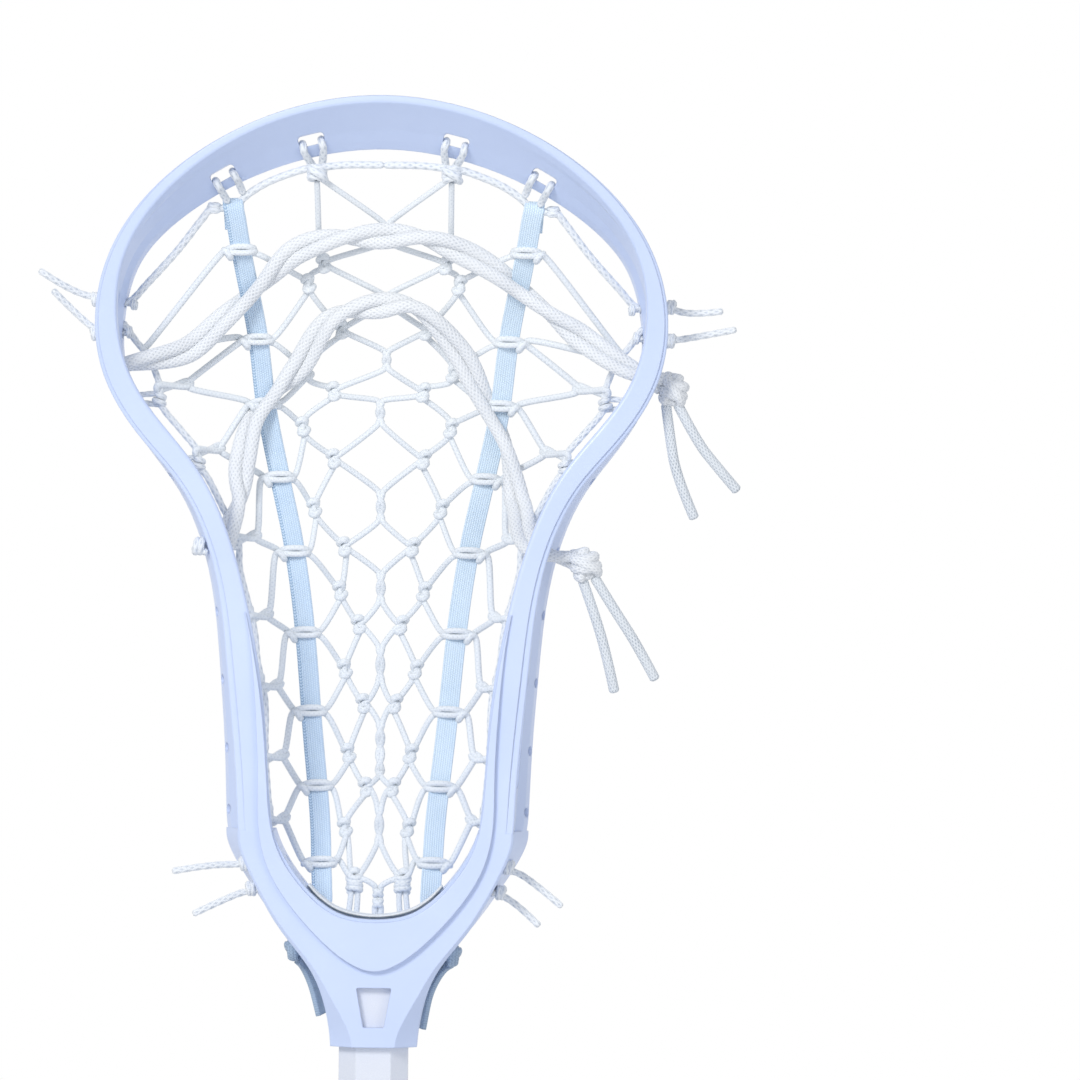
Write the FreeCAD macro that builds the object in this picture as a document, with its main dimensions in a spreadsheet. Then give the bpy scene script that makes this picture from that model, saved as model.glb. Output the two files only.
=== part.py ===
"""Lacrosse stick: a moulded head with a strung pocket, an octagonal shaft and a push-on end cap.

The stick stands along +Z. The origin is the centre of the end cap's flat bottom face, on the shaft's
axis. -Y is the open side of the head, where the ball goes in, and +Y is the side the pocket hangs to.
Millimetres. Places on the head are given as a "drop", the distance down from the tip of the scoop.
"""
import FreeCAD
import Part
import math
import os

V = FreeCAD.Vector
doc = FreeCAD.newDocument("LacrosseStick")

# ---------------------------------------------------------------- driving dimensions
SIZES = [
    ("stick_length", 1087.0, "end cap to scoop tip"),
    ("head_length", 305.0, "scoop tip to socket mouth"),
    ("head_half_width", 92.0, "widest, outside"),
    ("shaft_width", 22.2, "across the flats, 7/8 inch"),
    ("shaft_flat", 11.2, "width of the front flat"),
    ("shaft_wall", 1.0, "tube wall"),
    ("shaft_length", 812.8, "32 inches"),
    ("cap_floor", 3.2, "end cap's closed end"),
    ("cap_wall", 1.6, "end cap's sleeve"),
    ("cap_height", 32.0, "end cap, overall"),
    ("cap_gap", 0.05, "fit of end cap on shaft"),
    ("socket_gap", 0.15, "fit of head on shaft"),
    ("socket_depth", 34.0, "shaft inside the head"),
    ("screw_radius", 1.75, "head screw shank"),
    ("screw_head_radius", 3.4, "head screw pan head"),
    ("screw_head_height", 1.9, "head screw pan head"),
    ("screw_length", 8.5, "under the head"),
    ("screw_drop", 293.0, "screw's axis below the scoop tip"),
    ("runner_width", 6.3, "flat nylon strap"),
    ("runner_thickness", 1.2, "flat nylon strap"),
    ("lace_diameter", 1.6, "crosslace cord"),
    ("tail_diameter", 3.3, "braided string ends"),
    ("sidewall_diameter", 2.2, "sidewall string"),
    ("top_diameter", 2.6, "top string"),
    ("shooter_diameter", 6.0, "rolled pair of shooting strings"),
    ("pocket_sag", 21.0, "pocket below its edges at the deepest"),
    ("ball_stop_thickness", 1.6, "foam strip in the throat"),
]
sheet = doc.addObject("Spreadsheet::Sheet", "Sizes")
for row, (alias, value, note) in enumerate(SIZES, start=1):
    sheet.set("A%d" % row, alias)
    sheet.set("B%d" % row, str(value))
    sheet.set("C%d" % row, note)
    sheet.setAlias("B%d" % row, alias)
doc.recompute()


def size(alias):
    """A driving dimension's number, from the sheet."""
    return float(sheet.get(alias))


TOP = size("stick_length")
SCALE_X = size("head_half_width") / 92.0
SCALE_D = size("head_length") / 305.0


# ---------------------------------------------------------------- small geometry helpers
def at(x, y, drop):
    """The point x across, y deep, at a drop below the scoop tip."""
    return V(x, y, TOP - drop)


def smooth(table, t):
    """Monotone cubic through (t, value) pairs, flat past the ends."""
    if t <= table[0][0]:
        return table[0][1]
    if t >= table[-1][0]:
        return table[-1][1]
    xs = [p[0] for p in table]
    ys = [p[1] for p in table]
    steps = [(ys[i + 1] - ys[i]) / (xs[i + 1] - xs[i]) for i in range(len(xs) - 1)]
    slopes = [steps[0]]
    for before, after in zip(steps, steps[1:]):
        slopes.append(0.0 if before * after <= 0 else 2 * before * after / (before + after))
    slopes.append(steps[-1])
    i = max(k for k in range(len(xs) - 1) if xs[k] <= t)
    gap = xs[i + 1] - xs[i]
    u = (t - xs[i]) / gap
    return (
        (2 * u**3 - 3 * u**2 + 1) * ys[i]
        + (u**3 - 2 * u**2 + u) * gap * slopes[i]
        + (3 * u**2 - 2 * u**3) * ys[i + 1]
        + (u**3 - u**2) * gap * slopes[i + 1]
    )


def spline(points, closed=False):
    curve = Part.BSplineCurve()
    curve.interpolate(Points=points, PeriodicFlag=closed)
    return curve


def rounded_wire(corners, radii):
    """A closed wire through the corners, with an arc at each corner that has a radius."""
    count = len(corners)
    starts, ends, arcs = [], [], []
    for i, corner in enumerate(corners):
        back = corners[i - 1] - corner
        ahead = corners[(i + 1) % count] - corner
        back.normalize()
        ahead.normalize()
        if not radii[i]:
            starts.append(corner)
            ends.append(corner)
            arcs.append(None)
            continue
        half = back.getAngle(ahead) / 2
        reach = radii[i] / math.tan(half)
        inward = back + ahead
        inward.normalize()
        middle = corner + inward * (radii[i] / math.sin(half) - radii[i])
        starts.append(corner + back * reach)
        ends.append(corner + ahead * reach)
        arcs.append(Part.Arc(starts[i], middle, ends[i]).toShape())
    edges = []
    for i in range(count):
        if arcs[i]:
            edges.append(arcs[i])
        edges.append(Part.LineSegment(ends[i], starts[(i + 1) % count]).toShape())
    return Part.Wire(edges)


def prism(wire, direction):
    return Part.Face(wire).extrude(direction)


def keep_shape(name, shape, label=None):
    """A document object that holds a finished shape."""
    feature = doc.addObject("Part::Feature", name)
    feature.Shape = shape
    feature.Label = label or name
    return feature


def boolean(kind, name, base, tool, label=None):
    result = doc.addObject(kind, name)
    result.Base = base
    result.Tool = tool
    result.Label = label or name
    return result


# ---------------------------------------------------------------- the head's curves
# The drop where the rim's walls run into the solid throat.
THROAT_TOP = 236.0
# Outer edge of the rim's front face, (x, drop), from the scoop tip down to the socket mouth.
RIM_EDGE = [
    (0, 0), (31.8, 5.1), (61.9, 20.3), (81.1, 39.6), (90.1, 58.9), (91.9, 74.0), (89.8, 87.8),
    (83.8, 101.7), (70.4, 117.7), (58.4, 136.1), (51.0, 161.8), (47.5, 194.0), (44.7, 226.2),
    (43.1, 242.2), (38.7, 251.9), (33.5, 262.2), (27.1, 271.2), (20.3, 280.5), (16.2, 290.5),
    (14.3, 300.1), (13.9, 305.0),
]
# Inner edge of the front face round the throat, (x, drop), upwards from the bottom of the U.
THROAT_EDGE = [(0, 264.0), (11.7, 262.0), (18.0, 258.0), (23.8, 252.0), (29.0, 244.5), (32.7, 236.0),
               (35.0, 222.0), (36.0, 212.0)]
# Inner edge of the raised lip, set back from the edge of the throat.
LIP_INNER = [(0, 264.9), (12.0, 262.9), (18.6, 258.8), (24.5, 252.7), (29.8, 245.0), (33.1, 236.3),
             (34.9, 222.0), (36.6, 200.0), (39.2, 182.0), (42.3, 166.5)]
# Outer edge of the raised lip round the throat, (x, drop), upwards from the bottom of the U.
LIP_EDGE = [(0, 280.5), (8.5, 277.6), (17.7, 270.2), (27.8, 258.8), (34.6, 247.3), (37.6, 234.0),
            (37.9, 219.7), (39.1, 195.0), (41.0, 176.0), (42.8, 166.0)]
FRONT = [(0, -27.0), (20, -23.5), (40, -19.5), (60, -16.0), (100, -12.0), (150, -11.0), (200, -13.0),
         (236, -14.4), (305, -14.0)]
BACK = [(0, -6.0), (20, -3.0), (30, -1.0), (60, 8.0), (100, 17.0), (150, 22.0), (200, 21.0),
        (240, 16.0), (262, 14.2), (305, 14.0)]
FACE_WIDTH = [(0, 3.0), (5, 3.1), (20, 3.8), (40, 4.6), (59, 5.8), (74, 7.2), (88, 7.8), (102, 8.2),
              (118, 8.0), (136, 7.2), (162, 8.4), (194, 10.8), (226, 10.7), (250, 10.2)]
LEAN = [(0, -15.0), (5, -14.4), (20, -12.0), (30, -9.8), (43, -6.2), (63, -4.0), (75, -3.2), (88, -1.5),
        (102, 0.0), (118, 1.5), (136, 2.9), (162, 3.4), (194, 3.8), (226, 4.9), (242, 4.3), (255, 2.5),
        (271, 0.5), (305, 0.0)]
RAIL = [(0, 3.3), (20, 3.6), (40, 4.5), (60, 5.2), (80, 5.5), (305, 5.5)]
# The front face's outer strip is set back behind the rest of it: how wide it is, and how far back.
STRIP_WIDTH = [(0, 0.9), (40, 1.2), (100, 1.3), (130, 1.4), (155, 1.8), (181, 2.3), (236, 2.4)]
STRIP_DEPTH = [(0, 0.3), (60, 0.5), (190, 0.6), (215, 0.5), (236, 0.1)]


def head_xy(pairs, side=1):
    """(x, drop) pairs as points in the plane y = 0, scaled to the head's driving sizes."""
    return [at(side * x * SCALE_X, 0, d * SCALE_D) for x, d in pairs]


def front(drop):
    return smooth(FRONT, drop / SCALE_D)


def back(drop):
    return smooth(BACK, drop / SCALE_D)


def rim_x(drop):
    """Half-width of the rim's outer front edge at a drop."""
    return SCALE_X * smooth([(d, x) for x, d in RIM_EDGE], drop / SCALE_D)


rim_curve = spline([p for p in reversed(head_xy(RIM_EDGE, -1))] + head_xy(RIM_EDGE)[1:])


def rim_station(share):
    """(point on the rim's outer edge, outward direction) at a share of the edge's length."""
    length = rim_curve.length()
    parameter = rim_curve.parameterAtDistance(share * length, rim_curve.FirstParameter)
    point = rim_curve.value(parameter)
    tangent = rim_curve.tangent(parameter)[0]
    return point, V(-tangent.z, 0, tangent.x)


def rim_section(share):
    """The wall's closed outline across the rim: front face, web, and the rail that the strings tie to."""
    point, outward = rim_station(share)
    drop = TOP - point.z
    near, far = front(drop), back(drop)
    lean, rail = smooth(LEAN, drop), smooth(RAIL, drop)
    width = smooth(FACE_WIDTH, drop)
    inset = min(1.0, max(0.0, (width - 3.2) / 3))
    web = min(width, inset + 3.2)
    strip, step = smooth(STRIP_WIDTH, drop), smooth(STRIP_DEPTH, drop)

    def lean_at(y):
        part = (y - near) / (far - near)
        return lean * part if lean < 0 else lean * max(0.0, (part - 0.6) / 0.4)

    profile = [
        (0, near + step), (-strip, near + step), (-strip, near),
        (-width, near), (-width, near + 3.0), (-web, near + 5.2), (-web, far - 9.0),
        (-rail, far - 5.0), (-rail, far), (0, far), (0, far - 4.5), (-inset, far - 9.0),
        (-inset, near + 4.0), (0, near + 2.2),
    ]
    corners = [point + outward * (n + lean_at(y)) + V(0, y, 0) for n, y in profile]
    radii = [0.8, 0, 0, 1.1, 0, 0, 0, 0, 1.1, 1.1, 0, 0, 0, 0]
    return rounded_wire(corners, radii)


def build_rim():
    """The rim's wall, from inside one shoulder of the throat, round the scoop, to the other."""
    length = rim_curve.length()
    ends = [rim_curve.parameter(at(side * 40.8, 0, 248.0)) for side in (-1, 1)]
    first, last = [rim_curve.length(rim_curve.FirstParameter, e) / length for e in ends]
    count = 30
    shares = [first + (last - first) * i / count for i in range(count + 1)]
    whole = Part.makeLoft([rim_section(s) for s in shares], True, False)
    below = Part.makeBox(300, 200, 100, V(-150, -100, TOP - THROAT_TOP * SCALE_D - 100))
    return whole.cut(below)


def throat_section(drop, corner, grow):
    """A level outline across the throat: corners cut by corner, sides that lean out at the back."""
    half_front = rim_x(drop) + grow
    half_back = half_front + max(0.0, smooth(LEAN, drop))
    near, far = front(drop) - grow, back(drop) + grow
    knee = near + 0.6 * (far - near)
    right = [
        (half_front - corner, near), (half_front, near + corner), (half_front, knee),
        (half_back, far - corner), (half_back - corner, far),
    ]
    outline = right + [(-x, y) for x, y in reversed(right)]
    points = [at(x, y, drop) for x, y in outline]
    return Part.makePolygon(points + points[:1])


def build_throat():
    """The solid throat, flaring from the octagonal socket mouth up to the two shoulders."""
    stations = [
        (THROAT_TOP, 0.8, 0.35), (242, 0.8, 0.35), (249, 0.8, 0.35), (256, 0.9, 0.35), (265, 1.2, 0.3),
        (274, 1.4, 0.2), (281, 1.7, 0.1), (287, 2.4, 0.0), (292, 3.7, 0.0), (297, 5.4, 0.0),
        (301, 6.6, 0.0), (305, 7.0, 0.0),
    ]
    body = Part.makeLoft([throat_section(d * SCALE_D, c, g) for d, c, g in stations], True, False)
    edge = head_xy(THROAT_EDGE)
    curve = spline([at(-p.x, 0, TOP - p.z) for p in reversed(edge)] + edge[1:]).toShape()
    corners = [edge[-1], V(edge[-1].x, 0, TOP), V(-edge[-1].x, 0, TOP), V(-edge[-1].x, 0, edge[-1].z)]
    sides = [Part.LineSegment(a, b).toShape() for a, b in zip(corners, corners[1:])]
    opening = Part.Wire([curve] + sides)
    opening.translate(V(0, -60, 0))
    return body.cut(prism(opening, V(0, 120, 0)))


def build_lip():
    """The raised lip round the throat: a U that stands 2 mm proud of the front face."""
    inner = head_xy(LIP_INNER)
    outer = head_xy(LIP_EDGE)
    whole_inner = [V(-p.x, 0, p.z) for p in reversed(inner)] + inner[1:]
    whole_outer = [V(-p.x, 0, p.z) for p in reversed(outer)] + outer[1:]
    joins = [
        Part.LineSegment(whole_inner[-1], whole_outer[-1]).toShape(),
        Part.LineSegment(whole_inner[0], whole_outer[0]).toShape(),
    ]
    curves = [spline(whole_inner).toShape(), spline(whole_outer).toShape()]
    outline = Part.Wire(Part.sortEdges(curves + joins)[0])
    outline.translate(V(0, -60, 0))
    column = prism(outline, V(0, 120, 0))
    drops = [160, 180, 200, 220, 240, 262, 284]
    rise = [0.3, 1.3, 1.8, 2.0, 2.1, 2.2, 2.2]
    face = [at(-60, front(d) - r, d) for d, r in zip(drops, rise)]
    behind = [at(-60, front(d) + 1.4, d) for d in (284, 160)]
    side = Part.Wire([
        spline(face).toShape(),
        Part.LineSegment(face[-1], behind[0]).toShape(),
        Part.LineSegment(behind[0], behind[1]).toShape(),
        Part.LineSegment(behind[1], face[0]).toShape(),
    ])
    return column.common(prism(side, V(120, 0, 0)))


def side_window(first, last):
    """A rounded opening through both side walls between two drops, clear of the rim and the rail."""
    corners = [
        at(-120, front(first) + 6.5, first), at(-120, front(last) + 6.5, last),
        at(-120, back(last) - 9.5, last), at(-120, back(first) - 9.5, first),
    ]
    return prism(rounded_wire(corners, [3.0] * 4), V(240, 0, 0))


SCOOP_SLOTS = [(-51.4, 26.0, -30.0), (-23.2, 14.7, -14.0), (23.2, 14.7, 14.0), (51.4, 26.0, 30.0)]


def scoop_slot(x, drop, angle):
    """A slot through the scoop's wall for the top string, along the rim."""
    half_long, half_wide = 4.2, 1.7
    corners = [V(a, 0, b) for a, b in ((-half_long, -half_wide), (half_long, -half_wide),
                                       (half_long, half_wide), (-half_long, half_wide))]
    wire = rounded_wire(corners, [1.2] * 4)
    wire.rotate(V(0, 0, 0), V(0, 1, 0), angle)
    wire.translate(at(x * SCALE_X, -60, drop * SCALE_D))
    return prism(wire, V(0, 120, 0))


RAIL_HOLES = [66.0, 77.5, 92.0, 104.0, 122.0, 145.0, 166.0, 188.0, 210.0, 230.0]


def rail_hole(drop, side):
    """A round hole through the rail for a string, square to the wall."""
    parameter = rim_curve.parameter(at(side * rim_x(drop), 0, drop))
    tangent = rim_curve.tangent(parameter)[0]
    outward = V(-tangent.z, 0, tangent.x)
    start = at(side * rim_x(drop), back(drop) - 3.4, drop) - outward * 12
    return Part.makeCylinder(1.6, 24, start, outward)


def runner_hole(side):
    """The hole through the throat's shoulder that a runner comes out of."""
    return Part.makeCylinder(2.6, 27, at(side * 16.0, 7.0, 253.6), V(side * 0.49, 0, -0.87))


def shoulder_holes(side):
    """Two holes through the throat's shoulder for the ends of the bottom and side strings."""
    upper = Part.makeCylinder(1.9, 30, at(side * 24, 6, 245.4), V(side, 0, -0.12))
    lower = Part.makeCylinder(1.9, 30, at(side * 22, 6, 253.0), V(side, 0, -0.14))
    return [upper, lower]


def socket_window():
    """The tapered window in the socket's front wall that shows the shaft."""
    corners = [at(x, -30, d) for x, d in ((-5.6, 285.9), (5.6, 285.9), (3.3, 298.6), (-3.3, 298.6))]
    return prism(rounded_wire(corners, [0.5] * 4), V(0, 24, 0))


def throat_core(side):
    """A hollow in the back of the throat beside the socket, which keeps the moulding thin."""
    outline = [(27.5, 252.5), (34.5, 244.5), (38.0, 248.5), (33.0, 256.5), (28.8, 259.5)]
    corners = [at(side * x, -8.0, d) for x, d in outline]
    return prism(rounded_wire(corners, [1.2] * 5), V(0, 40, 0))


# ---------------------------------------------------------------- octagonal prisms for shaft, socket, cap
def octagon(name, width, corner, height, base):
    """An eight-sided prism: a square box of a width, with its corners cut by a box turned 45 degrees.

    width, corner, height and base are expressions: corner is the distance across the cut corners.
    """
    square = doc.addObject("Part::Box", name + "_square")
    turned = doc.addObject("Part::Box", name + "_turned")
    for box, across in ((square, width), (turned, corner)):
        box.setExpression("Length", across)
        box.setExpression("Width", across)
        box.setExpression("Height", height)
    square.setExpression("Placement.Base.x", "-(%s)/2" % width)
    square.setExpression("Placement.Base.y", "-(%s)/2" % width)
    square.setExpression("Placement.Base.z", base)
    turned.Placement = FreeCAD.Placement(V(0, 0, 0), FreeCAD.Rotation(V(0, 0, 1), 45))
    turned.setExpression("Placement.Base.y", "-(%s)/sqrt(2)" % corner)
    turned.setExpression("Placement.Base.z", base)
    return boolean("Part::Common", name, square, turned)


WIDTH = "Sizes.shaft_width"
CORNER = "(Sizes.shaft_width + Sizes.shaft_flat)/sqrt(2)"


def build_shaft():
    """The tube, with the hole that the head screw bites into."""
    outside = octagon("shaft_outside", WIDTH, CORNER, "Sizes.shaft_length", "Sizes.cap_floor")
    inside = octagon("shaft_inside", WIDTH + " - 2*Sizes.shaft_wall", CORNER + " - 2*Sizes.shaft_wall",
                     "Sizes.shaft_length", "Sizes.cap_floor")
    tube = boolean("Part::Cut", "shaft_plain", outside, inside)
    hole = doc.addObject("Part::Cylinder", "shaft_screw_hole")
    hole.setExpression("Radius", "Sizes.screw_radius + 0.05")
    hole.Height = 20
    hole.Placement = FreeCAD.Placement(V(0, 0, 0), FreeCAD.Rotation(V(1, 0, 0), -90))
    hole.setExpression("Placement.Base.z", "Sizes.stick_length - Sizes.screw_drop")
    return boolean("Part::Cut", "shaft_drilled", tube, hole, "shaft_tube")


def build_end_cap():
    """A rubber cap: a closed floor and a sleeve that grips the tube."""
    outer_width = WIDTH + " + 2*Sizes.cap_gap + 2*Sizes.cap_wall"
    outer_corner = CORNER + " + 2*Sizes.cap_gap + 2*Sizes.cap_wall"
    outside = octagon("cap_outside", outer_width, outer_corner, "Sizes.cap_height", "0")
    soft = doc.addObject("Part::Fillet", "cap_soft")
    soft.Base = outside
    doc.recompute()
    low = [i + 1 for i, e in enumerate(outside.Shape.Edges) if e.BoundBox.ZMax < 0.01]
    soft.Edges = [(i, 1.2, 1.2) for i in low]
    inside = octagon("cap_inside", WIDTH + " + 2*Sizes.cap_gap", CORNER + " + 2*Sizes.cap_gap",
                     "Sizes.cap_height", "Sizes.cap_floor")
    return boolean("Part::Cut", "cap_hollow", soft, inside, "end_cap")


def build_screw():
    """A pan-head screw, driven from the back of the socket through the shaft's wall."""
    body = doc.addObject("PartDesign::Body", "screw_body")
    profile = body.newObject("Sketcher::SketchObject", "screw_profile")
    plane = [o for o in body.Origin.OriginFeatures if o.Role == "YZ_Plane"][0]
    profile.AttachmentSupport = [(plane, "")]
    profile.MapMode = "FlatFace"
    shank, head = size("screw_radius"), size("screw_head_radius")
    high, long = size("screw_head_height"), size("screw_length")
    corners = [V(-long, 0, 0), V(-long + 1.5, shank, 0), V(0, shank, 0), V(0, head, 0),
               V(high - 0.7, head, 0), V(high, head - 1.2, 0), V(high, 0, 0)]
    for a, b in zip(corners, corners[1:] + corners[:1]):
        profile.addGeometry(Part.LineSegment(a, b), False)
    doc.recompute()
    turned = body.newObject("PartDesign::Revolution", "screw_turned")
    turned.Profile = profile
    turned.ReferenceAxis = (profile, ["H_Axis"])
    turned.Angle = 360
    recess = body.newObject("Sketcher::SketchObject", "screw_cross")
    face_plane = [o for o in body.Origin.OriginFeatures if o.Role == "XZ_Plane"][0]
    recess.AttachmentSupport = [(face_plane, "")]
    recess.MapMode = "FlatFace"
    arm, half = 1.9, 0.45
    cross = [(half, arm), (half, half), (arm, half), (arm, -half), (half, -half), (half, -arm),
             (-half, -arm), (-half, -half), (-arm, -half), (-arm, half), (-half, half), (-half, arm)]
    points = [V(x, y, 0) for x, y in cross]
    for a, b in zip(points, points[1:] + points[:1]):
        recess.addGeometry(Part.LineSegment(a, b), False)
    recess.AttachmentOffset = FreeCAD.Placement(V(0, 0, -high), FreeCAD.Rotation())
    doc.recompute()
    cut = body.newObject("PartDesign::Pocket", "screw_recess")
    cut.Profile = recess
    cut.Length = 1.1
    cut.Reversed = False
    doc.recompute()
    plain = turned.Shape.Volume
    if cut.Shape.Volume > plain - 0.5:
        cut.Reversed = True
        doc.recompute()
    seat = V(0, back(size("screw_drop")) + 0.05, TOP - size("screw_drop"))
    body.Placement = FreeCAD.Placement(seat, FreeCAD.Rotation())
    body.Label = "head_screw"
    print("screw recess cuts", round(plain - cut.Shape.Volume, 2), "mm3")
    return body


# ---------------------------------------------------------------- the head
def build_head():
    """The moulding: rim, throat and lip joined, then the socket and every opening cut."""
    rim = keep_shape("rim", build_rim())
    throat = keep_shape("throat", build_throat())
    lip = keep_shape("lip", build_lip())
    walled = boolean("Part::Fuse", "head_walled", rim, throat)
    whole = boolean("Part::Fuse", "head_whole", walled, lip)
    bore = octagon("socket_bore", WIDTH + " + 2*Sizes.socket_gap", CORNER + " + 2*Sizes.socket_gap",
                   "Sizes.socket_depth + 10", "Sizes.stick_length - Sizes.head_length - 10")
    bored = boolean("Part::Cut", "head_bored", whole, bore)
    windows = [side_window(*drops) for drops in ((64, 96), (104, 134), (142, 178), (186, 222))]
    windowed = boolean("Part::Cut", "head_windowed", bored, keep_shape("windows", Part.makeCompound(windows)))
    holes = [scoop_slot(*slot) for slot in SCOOP_SLOTS]
    holes.append(socket_window())
    holes.append(Part.makeCylinder(size("screw_radius") + 0.05, 20, at(0, 4, size("screw_drop")), V(0, 1, 0)))
    for side in (-1, 1):
        holes += [rail_hole(drop, side) for drop in RAIL_HOLES]
        holes += [runner_hole(side), throat_core(side)] + shoulder_holes(side)
    tool = holes[0].fuse(holes[1:])
    return boolean("Part::Cut", "head_holed", windowed, keep_shape("holes", tool), "head_frame")


def build_ball_stop():
    """A foam strip lining the bottom of the throat."""
    half = [(11.6, 261.7), (17.9, 257.7), (21.8, 253.7)]
    outer = [(-x, d) for x, d in reversed(half)] + [(0, 263.8)] + half
    thick = size("ball_stop_thickness")
    edge = spline([at(x, -8.5, d) for x, d in outer])
    start, end = edge.FirstParameter, edge.LastParameter
    inner_points = []
    for i in range(7):
        u = start + (end - start) * i / 6
        tangent = edge.tangent(u)[0]
        inner_points.append(edge.value(u) + V(-tangent.z, 0, tangent.x) * thick)
    inner = spline(inner_points)
    wire = Part.Wire(Part.sortEdges([
        edge.toShape(),
        Part.LineSegment(edge.value(end), inner_points[-1]).toShape(),
        inner.toShape(),
        Part.LineSegment(inner_points[0], edge.value(start)).toShape(),
    ])[0])
    return keep_shape("ball_stop", prism(wire, V(0, 11.0, 0)))


# ---------------------------------------------------------------- the pocket's surface
# Depth of the pocket's centre line, (drop, y).
POCKET_FLOOR = [(20, -7), (40, 3), (60, 16), (80, 27), (120, 39), (160, 42), (200, 36), (235, 23), (262, 7)]
# Each runner's distance from the middle, (drop, x).
RUNNER_X = [(30, 49.0), (49, 46.0), (78, 40.6), (99, 38.1), (122, 33.5), (145, 28.6), (170, 25.0),
            (204, 21.8), (240, 18.3), (252, 17.9)]
# Distance of the cord beside each wall from the middle, (drop, x). It swings in further than the rail.
SIDE_STRING = [(82, 77.4), (92, 72.8), (101, 70.0), (110, 63.6), (119, 58.8), (130, 52.4),
               (144, 46.0), (154, 44.4), (164, 42.0), (187, 37.8), (211, 36.0), (233, 33.8)]


# The corners of a strap's section, as signs across it and through it.
SQUARE = [(-1, -1), (1, -1), (1, 1), (-1, 1)]


def wall_inside(drop):
    """Half the distance between the rails at a drop, measured level."""
    slope = (rim_x(drop + 1) - rim_x(drop - 1)) / 2
    return rim_x(drop) + (smooth(LEAN, drop) - smooth(RAIL, drop)) * math.hypot(1, slope)


def pocket(x, drop):
    """The pocket's depth at a place: level with the string holes at its edges, lowest in the middle."""
    edge = back(drop) - 3.4
    floor = smooth(POCKET_FLOOR, drop) + size("pocket_sag") - 21.0
    return edge + (floor - edge) * max(0.0, 1 - (x / wall_inside(drop)) ** 2)


def on_pocket(x, drop, lift=0.0):
    """A point lift in front of the pocket's surface."""
    return at(x, pocket(x, drop) - lift, drop)


def runner(side):
    """A flat strap: hung from the scoop, along the pocket, and down into its hole in the throat."""
    name = "runner_left" if side < 0 else "runner_right"
    wide, thick = size("runner_width") / 2, size("runner_thickness") / 2
    stations = []
    for drop in (31, 40, 55, 75, 100, 125, 150, 175, 200, 225, 240, 249):
        x = side * smooth(RUNNER_X, drop)
        stations.append((on_pocket(x, drop, 1.9), wide, thick))
    stations.append((at(side * 17.3, 7.2, 256.0), 1.9, 1.0))
    stations.append((at(side * 26.2, 7.0, 271.8), 1.9, 1.0))
    sections = []
    for i, (centre, half, deep) in enumerate(stations):
        before = stations[max(0, i - 1)][0]
        after = stations[min(len(stations) - 1, i + 1)][0]
        along = after - before
        across = V(0, 1, 0).cross(along)
        across.normalize()
        face = along.cross(across)
        face.normalize()
        corners = [centre + across * a * half + face * b * deep for a, b in SQUARE]
        sections.append(Part.makePolygon(corners + corners[:1]))
    return keep_shape(name, Part.makeLoft(sections, True, True))


def lace_panel(name, drops, edges):
    """The crosslacing between two edges, as a thin curved sheet. edges(drop) gives its two x values."""
    thick = size("lace_diameter")
    sections = []
    for drop in drops:
        low, high = edges(drop)
        xs = [low + (high - low) * i / 4 for i in range(5)]
        near = [on_pocket(x, drop, thick / 2) for x in xs]
        far = [on_pocket(x, drop, -thick / 2) for x in xs]
        sections.append(Part.Wire([
            spline(near).toShape(),
            Part.LineSegment(near[-1], far[-1]).toShape(),
            spline(far[::-1]).toShape(),
            Part.LineSegment(far[0], near[0]).toShape(),
        ]))
    return keep_shape(name, Part.makeLoft(sections, True, False))


def side_panel(side):
    def edges(drop):
        inner = side * (smooth(RUNNER_X, drop) + 4.0)
        outer = side * (min(wall_inside(drop) - 2.4, smooth(SIDE_STRING, drop)) - 2.2)
        return min(inner, outer), max(inner, outer)
    name = "crosslace_left" if side < 0 else "crosslace_right"
    return lace_panel(name, [68, 85, 105, 130, 155, 180, 205, 226, 236], edges)


def centre_panel():
    def edges(drop):
        reach = smooth(RUNNER_X, drop) - 4.0
        return -reach, reach
    return lace_panel("crosslace_centre", [46, 62, 80, 105, 130, 155, 180, 205, 225, 243], edges)


# ---------------------------------------------------------------- cords
def cord(name, places, diameter):
    """A round cord: straight runs with a tangent arc at every turn. places are (x, y, drop)."""
    points = [at(*place) for place in places]
    edges, start, radii = [], points[0], []
    for before, here, after in zip(points, points[1:], points[2:]):
        back_way = before - here
        on_way = after - here
        run = min(back_way.Length, on_way.Length)
        back_way.normalize()
        on_way.normalize()
        half_turn = (math.pi - back_way.getAngle(on_way)) / 2
        radius = 0.45 * run / math.tan(half_turn)
        reach = 0.45 * run
        middle = back_way + on_way
        middle.normalize()
        first, last = here + back_way * reach, here + on_way * reach
        mid = here + middle * (radius / math.cos(half_turn) - radius)
        edges.append(Part.LineSegment(start, first).toShape())
        edges.append(Part.Arc(first, mid, last).toShape())
        start = last
        radii.append(radius)
    edges.append(Part.LineSegment(start, points[-1]).toShape())
    path = Part.Wire(edges)
    ring = Part.Wire(Part.Circle(points[0], points[1] - points[0], diameter / 2).toShape())
    tube = path.makePipeShell([ring], True, False)
    expected = math.pi * diameter**2 / 4 * path.Length
    print("%-22s length %6.1f  smallest radius %5.1f = %4.1f d  volume/expected %.3f" % (
        name, path.Length, min(radii), min(radii) / diameter, tube.Volume / expected))
    return keep_shape(name, tube)


def knot(name, place, radii):
    """A tied knot, as a plain lump: radii across, deep and along the drop."""
    lump = doc.addObject("Part::Ellipsoid", name)
    lump.Radius2, lump.Radius3, lump.Radius1 = radii
    lump.Placement = FreeCAD.Placement(at(*place), FreeCAD.Rotation())
    lump.Label = name
    return lump


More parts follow.
